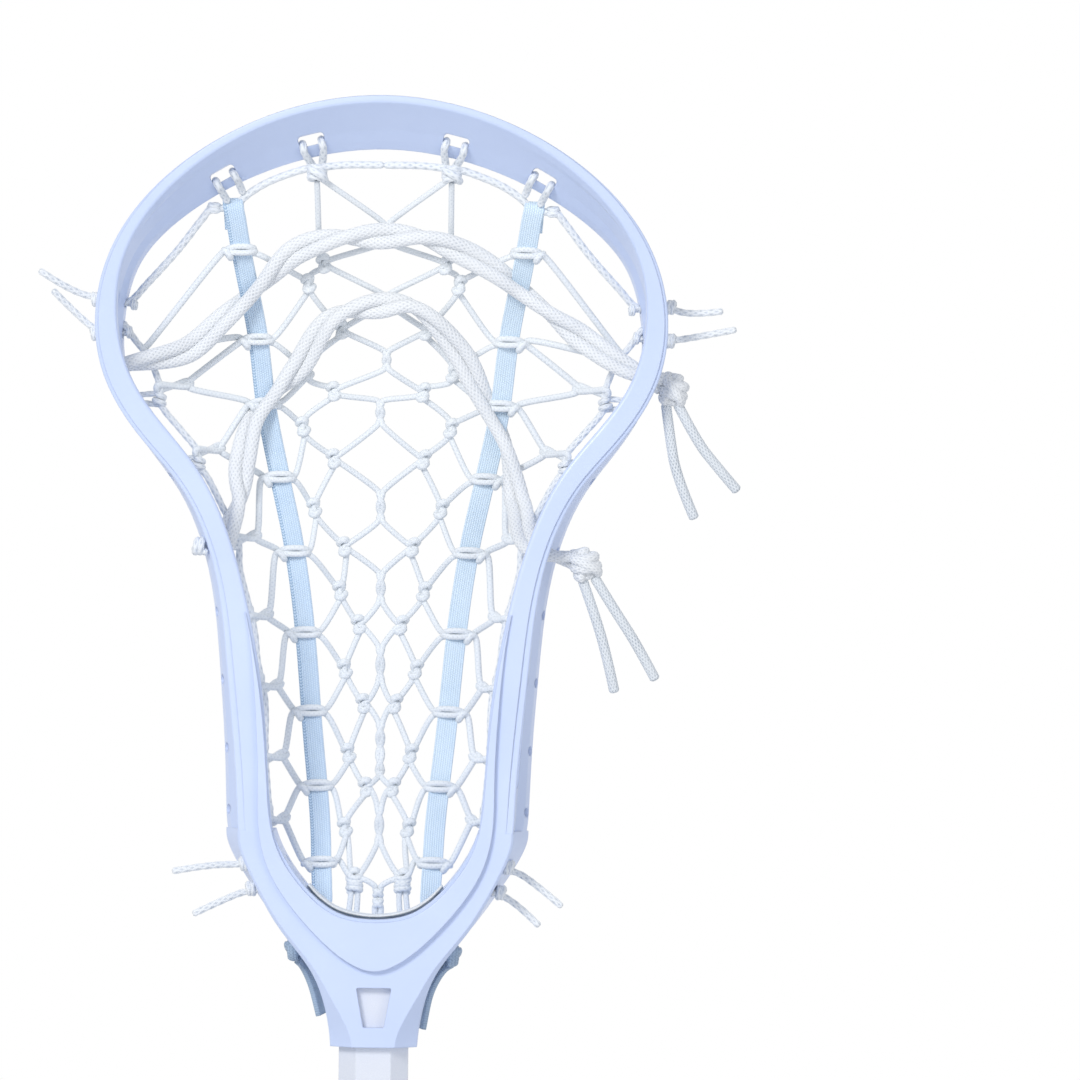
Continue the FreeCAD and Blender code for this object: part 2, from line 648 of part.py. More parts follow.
def sidewall_string(side):
    """A cord inside each wall that the crosslacing hangs from: beside the rail, then drawn in and back."""
    name = "sidewall_string_left" if side < 0 else "sidewall_string_right"
    places = [(side * (wall_inside(d) - 2.4), back(d) - y, d) for d, y in ((64, 3.2), (76, 2.8))]
    for d, x in SIDE_STRING:
        y = max(back(d) - 3.2, pocket(x, d) - max(0.0, 144 - d) * 0.2)
        places.append((side * x, y, d))
    return cord(name, places, size("sidewall_diameter"))


def top_string():
    """The string across the scoop that the pocket hangs from, slung inside the four slots."""
    half = [(16, -7.0, 22.6), (32, -4.6, 25.0), (42.5, -0.6, 29.5), (54, 0.4, 38.5), (65, 1.8, 50.0),
            (78, 5.0, 65.5)]
    places = [(-x, y, d) for x, y, d in reversed(half)] + half
    return cord("top_string", places, size("top_diameter"))


def bottom_string():
    """The short string across the throat that closes the pocket's lower end."""
    half = [(8.0, 13.5, 251.5), (22.5, 6.5, 245.2)]
    places = [(-x, y, d) for x, y, d in reversed(half)] + half
    return cord("bottom_string", places, size("lace_diameter"))


# Where each shooting string crosses the pocket, (x, drop).
UPPER_SHOOTER = [(-60.6, 81.4), (-49.7, 71.7), (-36.5, 59.8), (-25.6, 49.5), (-14.3, 45.7), (0.2, 45.0),
                 (14.6, 45.1), (25.9, 49.2), (37.5, 55.3), (54.5, 68.2), (68.0, 78.5)]
LOWER_SHOOTER = [(-44.9, 129.7), (-43.6, 116.8), (-40.0, 103.3), (-25.6, 86.9), (-14.3, 70.8), (0.0, 66.8),
                 (11.7, 67.0), (25.9, 80.7), (34.6, 97.2), (42.0, 112.6), (46.2, 132.9)]


def shooter(name, crossing, entry, leave):
    """A rolled pair of strings in front of the lacing, its ends out through the side windows."""
    places = [entry] + [(x, pocket(x, d) - 5.9, d) for x, d in crossing] + leave
    return cord(name, places, size("shooter_diameter"))


def build_soft_parts():
    parts = [runner(-1), runner(1), side_panel(-1), centre_panel(), side_panel(1)]
    parts += [sidewall_string(-1), sidewall_string(1), top_string(), bottom_string()]
    parts.append(shooter("shooting_string_upper", UPPER_SHOOTER, (-77.5, 1.0, 86.0),
                         [(79.5, 1.5, 87.0), (90.5, 1.5, 91.5)]))
    parts.append(shooter("shooting_string_lower", LOWER_SHOOTER, (-46.2, 9.0, 146.0),
                         [(49.5, 5.5, 145.3), (62.5, 3.0, 148.5)]))
    parts.append(knot("shooter_knot_upper", (94.2, 2.0, 93.2), (4.6, 4.4, 6.2)))
    parts.append(knot("shooter_knot_lower", (66.4, 3.0, 149.5), (5.2, 5.0, 6.4)))
    for side in (-1, 1):
        name = "runner_knot_" + ("left" if side < 0 else "right")
        parts.append(knot(name, (side * 28.1, 7.0, 275.7), (3.2, 3.6, 3.8)))
    thick = size("tail_diameter")
    thin = size("sidewall_diameter")
    # Each tail's name, its places from the knot or hole that it leaves, and its diameter.
    tails = [
        ("shooter_tail_upper_1",
         [(91.5, 2.0, 97.5), (93.0, 1.5, 109.0), (95.2, 1.5, 121.0), (101.2, 2, 134.6)], thick),
        ("shooter_tail_upper_2",
         [(95.2, 2.0, 97.5), (101.5, 1.0, 109.5), (108.0, 1.0, 117.5), (115, 2, 125.5)], thick),
        ("shooter_tail_lower_1",
         [(65.3, 3.0, 154.5), (69.5, 2.2, 166.0), (73.2, 2.0, 178.0), (76.1, 3, 190.8)], thick),
        ("shooter_tail_lower_2",
         [(69.1, 3.0, 153.6), (76.0, 2.0, 164.6), (83.0, 2.0, 175.0), (89.3, 3, 186.6)], thick),
        ("tail_top_left_1",
         [(-79.0, 6.2, 67.4), (-91.0, 6.2, 66.0), (-101.2, 5.0, 63.2), (-110.8, 3, 56.9)], thin),
        ("tail_top_left_2",
         [(-80.6, 9.1, 76.4), (-91.0, 9.1, 77.3), (-99.2, 8.0, 70.6), (-106.6, 6, 63.1)], thin),
        ("tail_top_right_1",
         [(79.0, 6.2, 67.4), (91.5, 6.2, 66.1), (98.5, 6.0, 69.0), (109.6, 4, 67.5)], thin),
        ("tail_top_right_2",
         [(80.6, 9.1, 76.4), (91.5, 9.1, 77.4), (101.5, 8.5, 75.8), (114.0, 6, 73.3)], thin),
        ("tail_bottom_left_1",
         [(-30.5, 6.0, 246.3), (-43.0, 6.0, 247.6), (-54.0, 5.0, 247.8), (-65.8, 4, 250)], thin),
        ("tail_bottom_left_2",
         [(-27.0, 6.0, 253.7), (-41.0, 6.0, 255.6), (-50.0, 5.5, 259.4), (-59.0, 5, 263.8)], thin),
        ("tail_bottom_right_1",
         [(30.5, 6.0, 246.3), (43.3, 6.0, 247.7), (52.0, 5.0, 253.2), (60.0, 4, 260)], thin),
        ("tail_bottom_right_2",
         [(25.5, 6.0, 253.5), (35.5, 6.0, 254.8), (44.6, 5.6, 258.2), (52.8, 5, 266.4)], thin),
    ]
    parts += [cord(*tail) for tail in tails]
    parts.append(strap_end("runner_tail_left",
                           [(-27.0, 9.5, 278.6), (-21.8, 16.6, 286.0), (-17.2, 17.4, 296.3)]))
    parts.append(strap_end("runner_tail_right",
                           [(27.0, 9.5, 278.8), (20.6, 16.4, 287.0), (14.4, 17.4, 300.5)]))
    return parts


def strap_end(name, places):
    """The loose flat end of a runner behind the socket."""
    wide, thick = size("runner_width") / 2, size("runner_thickness") / 2
    points = [at(*place) for place in places]
    sections = []
    for i, centre in enumerate(points):
        along = points[min(i + 1, len(points) - 1)] - points[max(i - 1, 0)]
        across = V(0, 1, 0).cross(along)
        across.normalize()
        face = along.cross(across)
        face.normalize()
        corners = [centre + across * a * wide + face * b * thick for a, b in SQUARE]
        sections.append(Part.makePolygon(corners + corners[:1]))
    return keep_shape(name, Part.makeLoft(sections, True, False))


# ---------------------------------------------------------------- build, check, export
nodes = [build_head(), build_shaft(), build_end_cap(), build_screw(), build_ball_stop()]
nodes += build_soft_parts()
doc.recompute()
for o in doc.Objects:
    if "Invalid" in o.State or "Error" in o.State:
        raise RuntimeError("%s did not compute: %s" % (o.Name, o.State))
os.makedirs("parts", exist_ok=True)
for node in nodes:
    shape = node.Shape
    if shape.isNull() or not shape.isValid() or len(shape.Solids) != 1:
        raise RuntimeError("%s: null, not valid or not one solid" % node.Label)
    shape.exportStep("parts/%s.step" % node.Label)
    box = shape.BoundBox
    print("%-22s %9.1f mm3  x %6.1f..%6.1f  y %6.1f..%6.1f  z %7.1f..%7.1f" % (
        node.Label, shape.Volume, box.XMin, box.XMax, box.YMin, box.YMax, box.ZMin, box.ZMax))
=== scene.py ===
"""Looks of the lacrosse stick: a moulded head with a strung pocket, on a painted octagonal shaft.

Places on the head are written in millimetres as (x, y, drop): x across, y deep (-Y is the open front of
the head), and drop the distance down from the tip of the scoop. Meshes are made in metres.
"""

import math

import bpy
import numpy as np
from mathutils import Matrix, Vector


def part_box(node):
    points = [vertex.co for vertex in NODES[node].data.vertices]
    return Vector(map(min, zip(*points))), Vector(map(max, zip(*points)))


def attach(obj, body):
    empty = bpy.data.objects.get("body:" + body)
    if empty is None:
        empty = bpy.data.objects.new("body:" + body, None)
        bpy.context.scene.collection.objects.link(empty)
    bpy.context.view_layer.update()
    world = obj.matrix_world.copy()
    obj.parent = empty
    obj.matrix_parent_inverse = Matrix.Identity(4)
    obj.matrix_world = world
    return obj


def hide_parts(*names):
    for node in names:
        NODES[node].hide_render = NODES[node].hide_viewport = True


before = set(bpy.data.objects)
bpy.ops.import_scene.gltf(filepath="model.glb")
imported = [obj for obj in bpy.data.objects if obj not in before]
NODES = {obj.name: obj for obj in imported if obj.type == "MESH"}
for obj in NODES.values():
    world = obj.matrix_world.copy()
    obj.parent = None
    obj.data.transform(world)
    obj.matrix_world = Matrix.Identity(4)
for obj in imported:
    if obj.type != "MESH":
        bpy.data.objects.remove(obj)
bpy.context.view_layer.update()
# The shaft ends 271 mm below the tip of the scoop.
SCOOP_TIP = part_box("shaft_tube")[1].z + 0.271
MM = 0.001
# Length of strand, in millimetres, that one unit of the UV map covers.
UV_LENGTH = 10.0

# ---------------------------------------------------------------- the head's curves, as (drop, value)
RIM_HALF_WIDTH = [(0, 0), (5.1, 31.8), (20.3, 61.9), (39.6, 81.1), (58.9, 90.1), (74, 91.9), (87.8, 89.8),
                  (101.7, 83.8), (117.7, 70.4), (136.1, 58.4), (161.8, 51.0), (194, 47.5), (226.2, 44.7),
                  (242.2, 43.1), (251.9, 38.7), (262.2, 33.5), (271.2, 27.1)]
RAIL_DEPTH = [(0, -6), (20, -3), (30, -1), (60, 8), (100, 17), (150, 22), (200, 21), (240, 16), (262, 14.2)]
LEAN = [(0, -15), (20, -12), (30, -9.8), (43, -6.2), (63, -4), (75, -3.2), (88, -1.5), (102, 0), (118, 1.5),
        (136, 2.9), (162, 3.4), (194, 3.8), (226, 4.9), (242, 4.3), (255, 2.5), (271, 0.5)]
RAIL_WIDTH = [(0, 3.3), (20, 3.6), (40, 4.5), (60, 5.2), (80, 5.5)]
POCKET_FLOOR = [(20, -7), (40, 3), (60, 16), (80, 27), (120, 39), (160, 42), (200, 36), (235, 23), (262, 7)]
RUNNER_X = [(30, 49.0), (49, 46.0), (78, 40.6), (99, 38.1), (122, 33.5), (145, 28.6), (170, 25.0),
            (204, 21.8), (240, 18.3), (252, 17.9)]
# The diamond lacing, row by row: the drop of each row's knots and their x left and right of the middle.
# A knots lie beside the runners, B knots nearer the middle. W is where the laces wrap the runners.
W_ROWS = [49.8, 78.2, 98.8, 122.6, 146.7, 173.1, 198.5, 222.6, 247.0]
A_ROWS = [(59.8, -24.4, 24.5), (87.8, -25.1, 22.8), (105.8, -26.2, 22.1), (132.2, -22.3, 19.2),
          (159.2, -13.6, 13.8), (184.7, -11.7, 11.5), (212.0, -10.1, 10.2), (235.8, -10.7, 9.8)]
B_ROWS = [(53.4, -19.4, 20.2), (74.3, -13.8, 14.0), (94.3, -16.3, 13.0), (116.1, -16.2, 13.3),
          (144.8, -12.5, 10.0), (170.2, -7.4, 6.5), (195.9, -5.5, 4.9), (222.9, -4.2, 4.6),
          (251.6, -7.2, 8.4)]
# The twisted pairs down the middle: (drop, x, half the twist's length, turns).
TWISTS = [(43.6, 0.8, 3.0, 1), (64.5, 0.6, 1.5, 1), (84.0, 0.9, 2.9, 1), (101.0, -1.1, 3.8, 1),
          (131.6, -0.7, 4.8, 1), (158.2, -0.4, 5.0, 1), (183.2, -0.2, 6.0, 1), (209.8, 0.2, 8.0, 1.5),
          (235.0, 0.4, 6.2, 1)]
# Where the outer laces turn beside the side wall: (drop, x).
SIDE_TURNS = [(81.4, 76.6), (92.6, 63.3), (113.2, 52.8), (141.5, 41.0), (167.0, 36.8), (189.8, 33.2),
              (212.6, 31.2), (232.9, 30.4)]
# The side string hangs off the rail between its hitches: (drop, x).
SIDE_STRING = [(76.4, 83.0), (79.5, 79.5), (81.9, 77.4), (87.8, 74.0), (94.8, 71.8), (98.3, 72.2),
               (101.6, 70.3), (108, 64.8), (115, 59.4), (119, 59.4), (122.4, 56.7), (132.2, 51.2),
               (143.5, 45.6), (152, 45.0), (158, 43.6), (165, 41.7), (173.6, 39.8), (182, 38.9), (188, 37.6),
               (194, 36.4), (200, 36.0), (212, 36.0), (220, 35.3), (228, 34.5), (235, 33.4)]
# Radii of the centre lacing, the side lacing and the strings.
LACE_R = 0.98
SIDE_LACE_R = 1.08
CORD_R = 1.2
# Raised strands of a braid: (how many bumps around, pitch, height).
CORD_BRAID = (4, 3.4, 0.09)
SHOOTER_BRAID = (9, 2.2, 0.10)
# How far the string holes lie in front of the rail's back.
HOLE_INSET = 3.4
# Where the top string is knotted below the inner slots, by side: (x, drop).
TOP_KNOTS = {-1: (-21.4, 25.4), 1: (21.8, 25.4)}
# The scoop's slots: (x, drop, tilt in degrees).
SCOOP_SLOTS = [(-51.4, 26.0, -30.0), (-23.2, 14.7, -14.0), (23.2, 14.7, 14.0), (51.4, 26.0, 30.0)]


def smooth(table, t):
    """Monotone cubic through (t, value) pairs, flat past the ends."""
    xs = [p[0] for p in table]
    ys = [p[1] for p in table]
    if t <= xs[0]:
        return ys[0]
    if t >= xs[-1]:
        return ys[-1]
    steps = [(b - a) / (q - p) for p, q, a, b in zip(xs, xs[1:], ys, ys[1:])]
    slopes = [steps[0]]
    for before, after in zip(steps, steps[1:]):
        slopes.append(0.0 if before * after <= 0 else 2 * before * after / (before + after))
    slopes.append(steps[-1])
    i = max(k for k in range(len(xs) - 1) if xs[k] <= t)
    gap = xs[i + 1] - xs[i]
    u = (t - xs[i]) / gap
    return ((2 * u**3 - 3 * u**2 + 1) * ys[i] + (u**3 - 2 * u**2 + u) * gap * slopes[i]
            + (3 * u**2 - 2 * u**3) * ys[i + 1] + (u**3 - u**2) * gap * slopes[i + 1])


def wall_inside(drop):
    """Half the distance between the rails at a drop, measured level."""
    slope = (smooth(RIM_HALF_WIDTH, drop + 1) - smooth(RIM_HALF_WIDTH, drop - 1)) / 2
    inset = (smooth(LEAN, drop) - smooth(RAIL_WIDTH, drop)) * math.hypot(1, slope)
    return smooth(RIM_HALF_WIDTH, drop) + inset


def pocket(x, drop):
    """The pocket's depth at a place: level with the string holes at its edges, lowest in the middle."""
    edge = smooth(RAIL_DEPTH, drop) - HOLE_INSET
    return edge + (smooth(POCKET_FLOOR, drop) - edge) * max(0.0, 1 - (x / wall_inside(drop)) ** 2)


def pt(x, y, drop):
    """A place on the head as a vector, up positive."""
    return np.array([x, y, -drop], float)


def link(thing):
    bpy.context.scene.collection.objects.link(thing)


def side_name(side):
    return "left" if side < 0 else "right"


def on_pocket(x, drop, lift=0.0):
    """A point lift in front of the pocket's surface."""
    return pt(x, pocket(x, drop) - lift, drop)


# ---------------------------------------------------------------- curves and tubes
def fair(points, step=0.6):
    """A smooth curve through the points, as evenly spaced points."""
    p = np.array(points, float)
    p = np.vstack([2 * p[0] - p[1], p, 2 * p[-1] - p[-2]])
    out = []
    for a, b, c, d in zip(p, p[1:], p[2:], p[3:]):
        t0 = 0.0
        t1 = t0 + max(np.linalg.norm(b - a), 1e-6) ** 0.5
        t2 = t1 + max(np.linalg.norm(c - b), 1e-6) ** 0.5
        t3 = t2 + max(np.linalg.norm(d - c), 1e-6) ** 0.5
        n = max(4, int(np.linalg.norm(c - b) / step * 2))
        t = np.linspace(t1, t2, n, endpoint=False)[:, None]
        a1 = (t1 - t) / (t1 - t0) * a + (t - t0) / (t1 - t0) * b
        a2 = (t2 - t) / (t2 - t1) * b + (t - t1) / (t2 - t1) * c
        a3 = (t3 - t) / (t3 - t2) * c + (t - t2) / (t3 - t2) * d
        b1 = (t2 - t) / (t2 - t0) * a1 + (t - t0) / (t2 - t0) * a2
        b2 = (t3 - t) / (t3 - t1) * a2 + (t - t1) / (t3 - t1) * a3
        out.append((t2 - t) / (t2 - t1) * b1 + (t - t1) / (t2 - t1) * b2)
    out.append(p[-2][None])
    return even(np.vstack(out), step)


def even(points, step):
    """The same line with evenly spaced points, about step apart."""
    p = np.asarray(points, float)
    s = np.concatenate([[0], np.cumsum(np.linalg.norm(np.diff(p, axis=0), axis=1))])
    n = max(3, int(round(s[-1] / step)) + 1)
    t = np.linspace(0, s[-1], n)
    return np.stack([np.interp(t, s, p[:, k]) for k in range(3)], 1)


def frames(line, first=None):
    """A pair of cross directions at each point of a line, which turn with it without twisting."""
    tangent = np.gradient(line, axis=0)
    tangent /= np.linalg.norm(tangent, axis=1)[:, None]
    up = np.array([0.0, -1.0, 0.0] if first is None else first)
    if abs(up @ tangent[0]) > 0.9:
        up = np.array([1.0, 0.0, 0.0])
    normals = []
    for t in tangent:
        up = up - (up @ t) * t
        up /= np.linalg.norm(up)
        normals.append(up)
    normals = np.array(normals)
    return normals, np.cross(tangent, normals)


class Mesh:
    """Gathers tubes and straps, in millimetres, into one object with a UV map of (around, along)."""

    def __init__(self):
        self.verts, self.faces, self.uvs = [], [], []
        self.count = 0

    def _rings(self, rings, around, along):
        """Joins rings of points into a closed skin. around and along are the UVs of each ring point."""
        n, sides = rings.shape[:2]
        base = self.count
        self.verts.append(rings.reshape(-1, 3))
        self.count += n * sides
        for i in range(n - 1):
            for j in range(sides):
                k = (j + 1) % sides
                a, b = base + i * sides, base + (i + 1) * sides
                self.faces.append((a + j, a + k, b + k, b + j))
                u0, u1 = around[j], around[j + 1]
                self.uvs += [(u0, along[i]), (u1, along[i]), (u1, along[i + 1]), (u0, along[i + 1])]
        for i, order in ((0, -1), (n - 1, 1)):
            centre = rings[i].mean(0)
            start = base + i * sides
            self.verts.append(centre[None])
            middle = self.count
            self.count += 1
            for j in range(sides):
                k = (j + 1) % sides
                pair = (start + j, start + k) if order > 0 else (start + k, start + j)
                self.faces.append(pair + (middle,))
                self.uvs += [(around[j], along[i]), (around[j + 1], along[i]), (around[j], along[i])]

    def tube(self, line, radius, sides=10, flat=1.0, first=None, braid=None):
        """A cord along a line. flat squeezes it towards first; braid is (bumps around, pitch, height)."""
        line = np.asarray(line, float)
        normal, across = frames(line, first)
        s = np.concatenate([[0], np.cumsum(np.linalg.norm(np.diff(line, axis=0), axis=1))])
        angle = np.arange(sides) * 2 * math.pi / sides
        r = np.full((len(line), sides), float(radius))
        if braid:
            bumps, pitch, height = braid
            turn = 2 * math.pi * s[:, None] / pitch
            r += height * (np.maximum(np.cos(bumps * angle + turn), np.cos(bumps * angle - turn)) - 0.5)
        for i, share in ((0, 0.55), (1, 0.86), (-1, 0.55), (-2, 0.86)):
            r[i] *= share
        rings = (line[:, None]
                 + (r * np.cos(angle) * flat)[..., None] * normal[:, None]
                 + (r * np.sin(angle))[..., None] * across[:, None])
        self._rings(rings, np.arange(sides + 1) / sides, s / UV_LENGTH)
        return self

    def braid(self, points, radius):
        """A braided cord along a smooth curve through the points."""
        return self.tube(fair(points, 0.55), radius, 14, braid=CORD_BRAID)

    def strap(self, line, facing, width, thick, stitched=1):
        """A ribbed flat strap along a line. facing gives the direction its wide face looks at each point.

        stitched is the side of its stitched edge, 1 for -X on a strap that hangs down and faces forwards."""
        line = np.asarray(line, float)
        tangent = np.gradient(line, axis=0)
        tangent /= np.linalg.norm(tangent, axis=1)[:, None]
        normal = np.asarray(facing, float)
        normal = normal - (normal * tangent).sum(1)[:, None] * tangent
        normal /= np.linalg.norm(normal, axis=1)[:, None]
        across = np.cross(tangent, normal)
        w, h = np.broadcast_to(width, len(line)) / 2, np.broadcast_to(thick, len(line)) / 2
        face = [(a, 0.9 + 0.2 * abs(math.cos(4.5 * math.pi * a))) for a in np.linspace(-0.94, 0.94, 37)]
        edge = [(-1, -0.45)] + [(a, -b) for a, b in face] + [(1, -0.45), (1, 0.45)] + face[::-1]
        edge.append((-1, 0.45))
        rings = np.stack([line + across * (a * w)[:, None] + normal * (b * h)[:, None] for a, b in edge], 1)
        s = np.concatenate([[0], np.cumsum(np.linalg.norm(np.diff(line, axis=0), axis=1))])
        around = [a for a, b in edge] + [edge[0][0]]
        self._rings(rings, [0.5 + 0.5 * a * stitched for a in around], s / UV_LENGTH)
        return self

    def build(self, name, material, slot, replaces=()):
        v = np.vstack(self.verts) * MM
        v[:, 2] += SCOOP_TIP
        mesh = bpy.data.meshes.new(name)
        mesh.from_pydata(v.tolist(), [], self.faces)
        layer = mesh.uv_layers.new(name="Strand")
        layer.data.foreach_set("uv", np.array(self.uvs, np.float32).ravel())
        mesh.polygons.foreach_set("use_smooth", [True] * len(mesh.polygons))
        mesh.materials.append(material)
        mesh.update()
        piece = bpy.data.objects.new(name, mesh)
        link(piece)
        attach(piece, "stick")
        if replaces:
            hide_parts(*replaces)
        return piece


def coil(centre, toward, turns, rise, radius, squeeze=0.85, lean=0.0):
    """Points that wind down round an upright line: they begin and end on the side that toward gives."""
    n = int(turns * 9) + 1
    points = []
    for i in range(n):
        t = i / (n - 1)
        a = 2 * math.pi * turns * t
        x = toward * radius * math.cos(a)
        y = -radius * squeeze * math.sin(a)
        points.append(centre + np.array([x, y, rise * (0.5 - t) - lean * y]))
    return points


# ---------------------------------------------------------------- materials
def new_material(name):
    """An empty material: itself, its node tree and its shader."""
    material = bpy.data.materials.new(name)
    material.use_nodes = True
    tree = material.node_tree
    tree.nodes.clear()
    out = tree.nodes.new("ShaderNodeOutputMaterial")
    shader = tree.nodes.new("ShaderNodeBsdfPrincipled")
    tree.links.new(shader.outputs["BSDF"], out.inputs["Surface"])
    return material, tree, shader


def add(tree, kind, **values):
    """A node with its properties, and with numbers for the inputs named with a leading i_."""
    node = tree.nodes.new(kind)
    for key, value in values.items():
        if key.startswith("i_"):
            node.inputs[key[2:].replace("_", " ")].default_value = value
        else:
            setattr(node, key, value)
    return node


def math_node(tree, operation, a, b=None, c=None):
    """A Math node's output. Its inputs are numbers or other nodes' outputs."""
    node = tree.nodes.new("ShaderNodeMath")
    node.operation = operation
    for i, value in enumerate((a, b, c)):
        if value is None:
            continue
        if isinstance(value, (int, float)):
            node.inputs[i].default_value = value
        else:
            tree.links.new(value, node.inputs[i])
    return node.outputs[0]


def ramp(tree, source, stops):
    """A colour that source picks between stops of (place, colour)."""
    node = tree.nodes.new("ShaderNodeValToRGB")
    tree.links.new(source, node.inputs["Fac"])
    elements = node.color_ramp.elements
    while len(elements) < len(stops):
        elements.new(0.5)
    for element, (place, colour) in zip(elements, stops):
        element.position = place
        element.color = (*colour, 1.0)
    return node.outputs["Color"]


def paint(tree, shader, source, stops):
    """Colours the shader by a ramp."""
    tree.links.new(ramp(tree, source, stops), shader.inputs["Base Color"])


def bump(tree, shader, height, distance, strength=1.0, normal=None):
    node = add(tree, "ShaderNodeBump", i_Strength=strength, i_Distance=distance)
    tree.links.new(height, node.inputs["Height"])
    if normal is not None:
        tree.links.new(normal, node.inputs["Normal"])
    tree.links.new(node.outputs["Normal"], shader.inputs["Normal"])


def bump_on_edges(tree, shader, height, distance, strength, radius):
    """A bump over edges that are softened by radius."""
    edge = add(tree, "ShaderNodeBevel", samples=6, i_Radius=radius)
    bump(tree, shader, height, distance, strength, edge.outputs["Normal"])


def noise(tree, scale, detail=3.0, roughness=0.5, stretch=None):
    coords = tree.nodes.new("ShaderNodeTexCoord")
    source = coords.outputs["Object"]
    if stretch:
        mapping = tree.nodes.new("ShaderNodeMapping")
        mapping.inputs["Scale"].default_value = stretch
        tree.links.new(source, mapping.inputs["Vector"])
        source = mapping.outputs["Vector"]
    node = add(tree, "ShaderNodeTexNoise", i_Scale=scale, i_Detail=detail, i_Roughness=roughness)
    tree.links.new(source, node.inputs["Vector"])
    return node.outputs["Fac"]


def strand_uv(tree):
    """The UV map's way around a strand as X and along it as Y."""
    uv = add(tree, "ShaderNodeUVMap", uv_map="Strand")
    split = tree.nodes.new("ShaderNodeSeparateXYZ")
    tree.links.new(uv.outputs["UV"], split.inputs["Vector"])
    return split


def moulded_plastic(name, colour, shade):
    """Satin injection-moulded nylon with softened edges and a faint flow mottling."""
    material, tree, shader = new_material(name)
    mottle = noise(tree, 22.0, 4.0, 0.55)
    paint(tree, shader, mottle, [(0.25, shade), (0.7, colour)])
    grain = noise(tree, 2600.0, 2.0, 0.6)
    rough = math_node(tree, "MULTIPLY_ADD", noise(tree, 60.0), 0.14, 0.27)
    tree.links.new(rough, shader.inputs["Roughness"])
    shader.inputs["IOR"].default_value = 1.5
    shader.inputs["Coat Weight"].default_value = 0.12
    shader.inputs["Coat Roughness"].default_value = 0.2
    bump_on_edges(tree, shader, grain, 0.00002, 0.5, 0.0006)
    return material


def cord_material(name, colour, groove_shade, bumps, per_cm, depth):
    """Braided cord: crossing strands wind both ways round it, with painted shade in the grooves between them
    and a soft nap.
    """
    material, tree, shader = new_material(name)
    split = strand_uv(tree)
    around = math_node(tree, "MULTIPLY", split.outputs["X"], 2 * math.pi * bumps)
    along = math_node(tree, "MULTIPLY", split.outputs["Y"], 2 * math.pi * per_cm)
    left = math_node(tree, "COSINE", math_node(tree, "ADD", around, along))
    right = math_node(tree, "COSINE", math_node(tree, "SUBTRACT", around, along))
    weave = math_node(tree, "MULTIPLY_ADD", math_node(tree, "MAXIMUM", left, right), 0.5, 0.5)
    fibre = noise(tree, 1800.0, 2.0, 0.7)
    height = math_node(tree, "MULTIPLY_ADD", fibre, 0.35, weave)
    # The braid's low places are painted darker, towards the groove colour: painted shade in its grooves.
    relief_shading = math_node(tree, "MULTIPLY", height, 0.5)
    tone = math_node(tree, "MULTIPLY_ADD", noise(tree, 90.0), 0.5, relief_shading)
    paint(tree, shader, tone, [(0.3, groove_shade), (0.62, colour)])
    shader.inputs["Roughness"].default_value = 0.62
    shader.inputs["Sheen Weight"].default_value = 0.25
    shader.inputs["Sheen Roughness"].default_value = 0.5
    bump(tree, shader, height, depth, 0.9)
    return material


def webbing_material(name, colour, groove_shade, stitch):
    """Flat woven nylon: wefts across raised ribs, with painted shade in the hollows of the weave, and a V of
    darker stitches along one selvedge.
    """
    material, tree, shader = new_material(name)
    split = strand_uv(tree)
    rib = math_node(tree, "COSINE", math_node(tree, "MULTIPLY", split.outputs["X"], 2 * math.pi * 4.5))
    row = math_node(tree, "MULTIPLY", split.outputs["Y"], 2 * math.pi * 13)
    step = math_node(tree, "MULTIPLY", math_node(tree, "SIGN", rib), math.pi / 2)
    weft = math_node(tree, "COSINE", math_node(tree, "ADD", row, step))
    ribs = math_node(tree, "MULTIPLY", math_node(tree, "ABSOLUTE", rib), 0.6)
    height = math_node(tree, "MULTIPLY_ADD", weft, 0.3, ribs)
    # The weave's low places are painted darker, towards the groove colour: painted shade in the hollows
    # between ribs and wefts.
    relief_shading = math_node(tree, "MULTIPLY", height, 0.55)
    tone = math_node(tree, "MULTIPLY_ADD", noise(tree, 140.0), 0.45, relief_shading)
    # The stitches lie in a band along the edge where X nears 1, and lean both ways from its middle.
    from_middle = math_node(tree, "ABSOLUTE", math_node(tree, "SUBTRACT", split.outputs["X"], 0.89))
    band = math_node(tree, "LESS_THAN", from_middle, 0.09)
    stitch_row = math_node(tree, "MULTIPLY", row, 0.77)
    lean = math_node(tree, "MULTIPLY_ADD", from_middle, 2 * math.pi * 5, stitch_row)
    seen = math_node(tree, "GREATER_THAN", math_node(tree, "COSINE", lean), -0.1)
    thread = math_node(tree, "MULTIPLY", band, seen)
    cloth = ramp(tree, tone, [(0.12, groove_shade), (0.62, colour)])
    mix = add(tree, "ShaderNodeMix", data_type="RGBA")
    tree.links.new(math_node(tree, "MULTIPLY", thread, 0.55), mix.inputs["Factor"])
    tree.links.new(cloth, mix.inputs[6])
    mix.inputs[7].default_value = (*stitch, 1.0)
    tree.links.new(mix.outputs[2], shader.inputs["Base Color"])
    shader.inputs["Roughness"].default_value = 0.6
    shader.inputs["Sheen Weight"].default_value = 0.2
    bump(tree, shader, height, 0.00012, 0.9)
    return material


